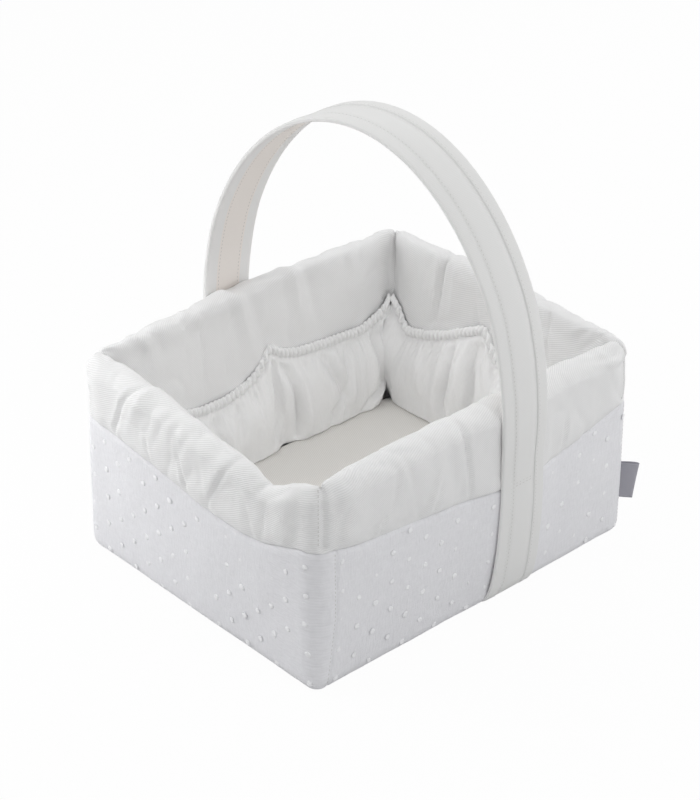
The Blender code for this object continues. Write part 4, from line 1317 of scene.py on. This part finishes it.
# The lamps: name, place, size and power. All face the basket's middle
SOFTBOXES = (
    ("Overhead softbox", (0.0, 0.0, 1.8), 1.5, 3.15),
    ("Back softbox", (0.0, 1.3, 1.0), 0.9, 2.9),
    ("Left back softbox", (-0.7, 0.7, 1.1), 0.8, 3.6),
    ("Low left back softbox", (-0.8, 0.6, 0.4), 0.5, 0.79),
    ("Left softbox", (-1.1, 0.0, 1.3), 0.9, 2.25),
    ("Left near softbox", (-0.44, 0.34, 0.26), 0.26, 0.53),
    ("Camera side softbox", (-1.1, -0.7, 1.2), 0.9, 2.05),
    ("Front softbox", (0.1, -1.3, 0.7), 0.9, 2.3),
    ("High front softbox", (0.0, -1.0, 1.3), 0.9, 3.05),
    ("Right front softbox", (0.9, -1.0, 0.8), 0.9, 3.0),
    ("Right near softbox", (0.5, -0.3, 0.35), 0.3, 0.25),
    ("Right softbox", (1.2, 0.2, 0.7), 0.9, 3.1),
    ("Right back softbox", (0.8, 0.9, 1.2), 0.9, 3.4),
)
LIT_PLACE = Vector((0, 0, 0.1))


def white_to_camera(tree, lit, white, share, output):
    """Mixes a share of plain white into what the camera sees directly, so that the background is white."""
    camera_ray = node(tree, "ShaderNodeLightPath").outputs["Is Camera Ray"]
    seen = node(tree, "ShaderNodeMath", {0: camera_ray, 1: share}, operation="MULTIPLY")
    mixed = node(tree, "ShaderNodeMixShader", {0: seen.outputs[0], 1: lit.outputs[0], 2: white.outputs[0]})
    node(tree, output, {"Surface": mixed.outputs[0]})


class LAYETTE_OT_stage(bpy.types.Operator):
    """Sets the camera, the soft lamps and the pale floor"""

    bl_idname = "layette.stage"
    bl_label = "Stage"

    def set_camera(self, scene):
        """A long lens at the photo's angle."""
        lens = bpy.data.cameras.new("Camera")
        lens.lens, lens.sensor_width, lens.sensor_fit = 112.5, 36.0, "AUTO"
        eye = bpy.data.objects.new("Camera", lens)
        scene.collection.objects.link(eye)
        azimuth, elevation, roll = (math.radians(a) for a in CAMERA_ANGLES)
        level = math.cos(elevation)
        back = Vector((level * math.sin(azimuth), -level * math.cos(azimuth), math.sin(elevation)))
        right = (-back).cross(Vector((0, 0, 1))).normalized()
        up = right.cross(-back)
        across = right * math.cos(roll) + up * math.sin(roll)
        upright = -right * math.sin(roll) + up * math.cos(roll)
        turned = Matrix((across, upright, back)).transposed().to_4x4()
        eye.matrix_world = Matrix.Translation(CAMERA_PLACE) @ turned
        scene.camera = eye

    def lay_floor(self):
        """Matt paper, pale grey to the lamps and white to the camera."""
        start_clean()
        bpy.ops.mesh.primitive_plane_add(size=6)
        floor = bpy.context.object
        floor.name = floor.data.name = "floor"
        made = bpy.data.materials.new("Matt paper sweep")
        tree = empty_tree(made)
        paper = node(tree, "ShaderNodeBsdfDiffuse", {"Color": linear("E4E4E4")})
        white = node(tree, "ShaderNodeEmission", {"Color": (1, 1, 1, 1), "Strength": 1.0})
        white_to_camera(tree, paper, white, 0.96, "ShaderNodeOutputMaterial")
        floor.data.materials.append(made)

    def light_room(self, scene):
        """A dim, slightly cool room that the camera sees as white, and the lamps."""
        scene.world = bpy.data.worlds.new("Studio")
        tree = empty_tree(scene.world)
        around = node(tree, "ShaderNodeBackground", {"Color": (0.99, 0.995, 1, 1), "Strength": 0.25})
        white = node(tree, "ShaderNodeBackground", {"Color": (1, 1, 1, 1), "Strength": 1.0})
        white_to_camera(tree, around, white, 1.0, "ShaderNodeOutputWorld")
        for name, place, size, power in SOFTBOXES:
            lamp = bpy.data.lights.new(name, "AREA")
            lamp.energy, lamp.size = power, size
            holder = bpy.data.objects.new(name, lamp)
            holder.visible_camera = False
            scene.collection.objects.link(holder)
            facing = (Vector(place) - LIT_PLACE).to_track_quat("Z", "Y").to_matrix().to_4x4()
            holder.matrix_world = Matrix.Translation(place) @ facing

    def execute(self, context):
        context.scene.view_settings.view_transform = "Standard"
        self.set_camera(context.scene)
        self.lay_floor()
        self.light_room(context.scene)
        return {"FINISHED"}


class LAYETTE_PT_panel(bpy.types.Panel):
    """Lists the basket's pieces in the order in which they are sewn"""

    bl_label = "Layette basket"
    bl_idname = "LAYETTE_PT_panel"
    bl_space_type = "VIEW_3D"
    bl_region_type = "UI"
    bl_category = "Layette"

    def draw(self, context):
        for operator in STEPS:
            self.layout.operator(operator.bl_idname)
        for group in (context.scene.layette_sizes, context.scene.layette_colours):
            for name in group.__annotations__:
                self.layout.prop(group, name)


STEPS = (
    LAYETTE_OT_stage, LAYETTE_OT_cover, LAYETTE_OT_dots, LAYETTE_OT_cuff, LAYETTE_OT_pockets, LAYETTE_OT_mat,
    LAYETTE_OT_strap, LAYETTE_OT_stitches, LAYETTE_OT_label,
)
CLASSES = (LayetteSizes, LayetteColours) + STEPS + (LAYETTE_PT_panel,)


def register():
    for cls in CLASSES:
        bpy.utils.register_class(cls)
    bpy.types.Scene.layette_sizes = PointerProperty(type=LayetteSizes)
    bpy.types.Scene.layette_colours = PointerProperty(type=LayetteColours)


def unregister():
    del bpy.types.Scene.layette_sizes
    del bpy.types.Scene.layette_colours
    for cls in reversed(CLASSES):
        bpy.utils.unregister_class(cls)


def main():
    register()
    for step in STEPS:
        group, name = step.bl_idname.split(".")
        getattr(getattr(bpy.ops, group), name)()


if __name__ == "__main__":
    main()
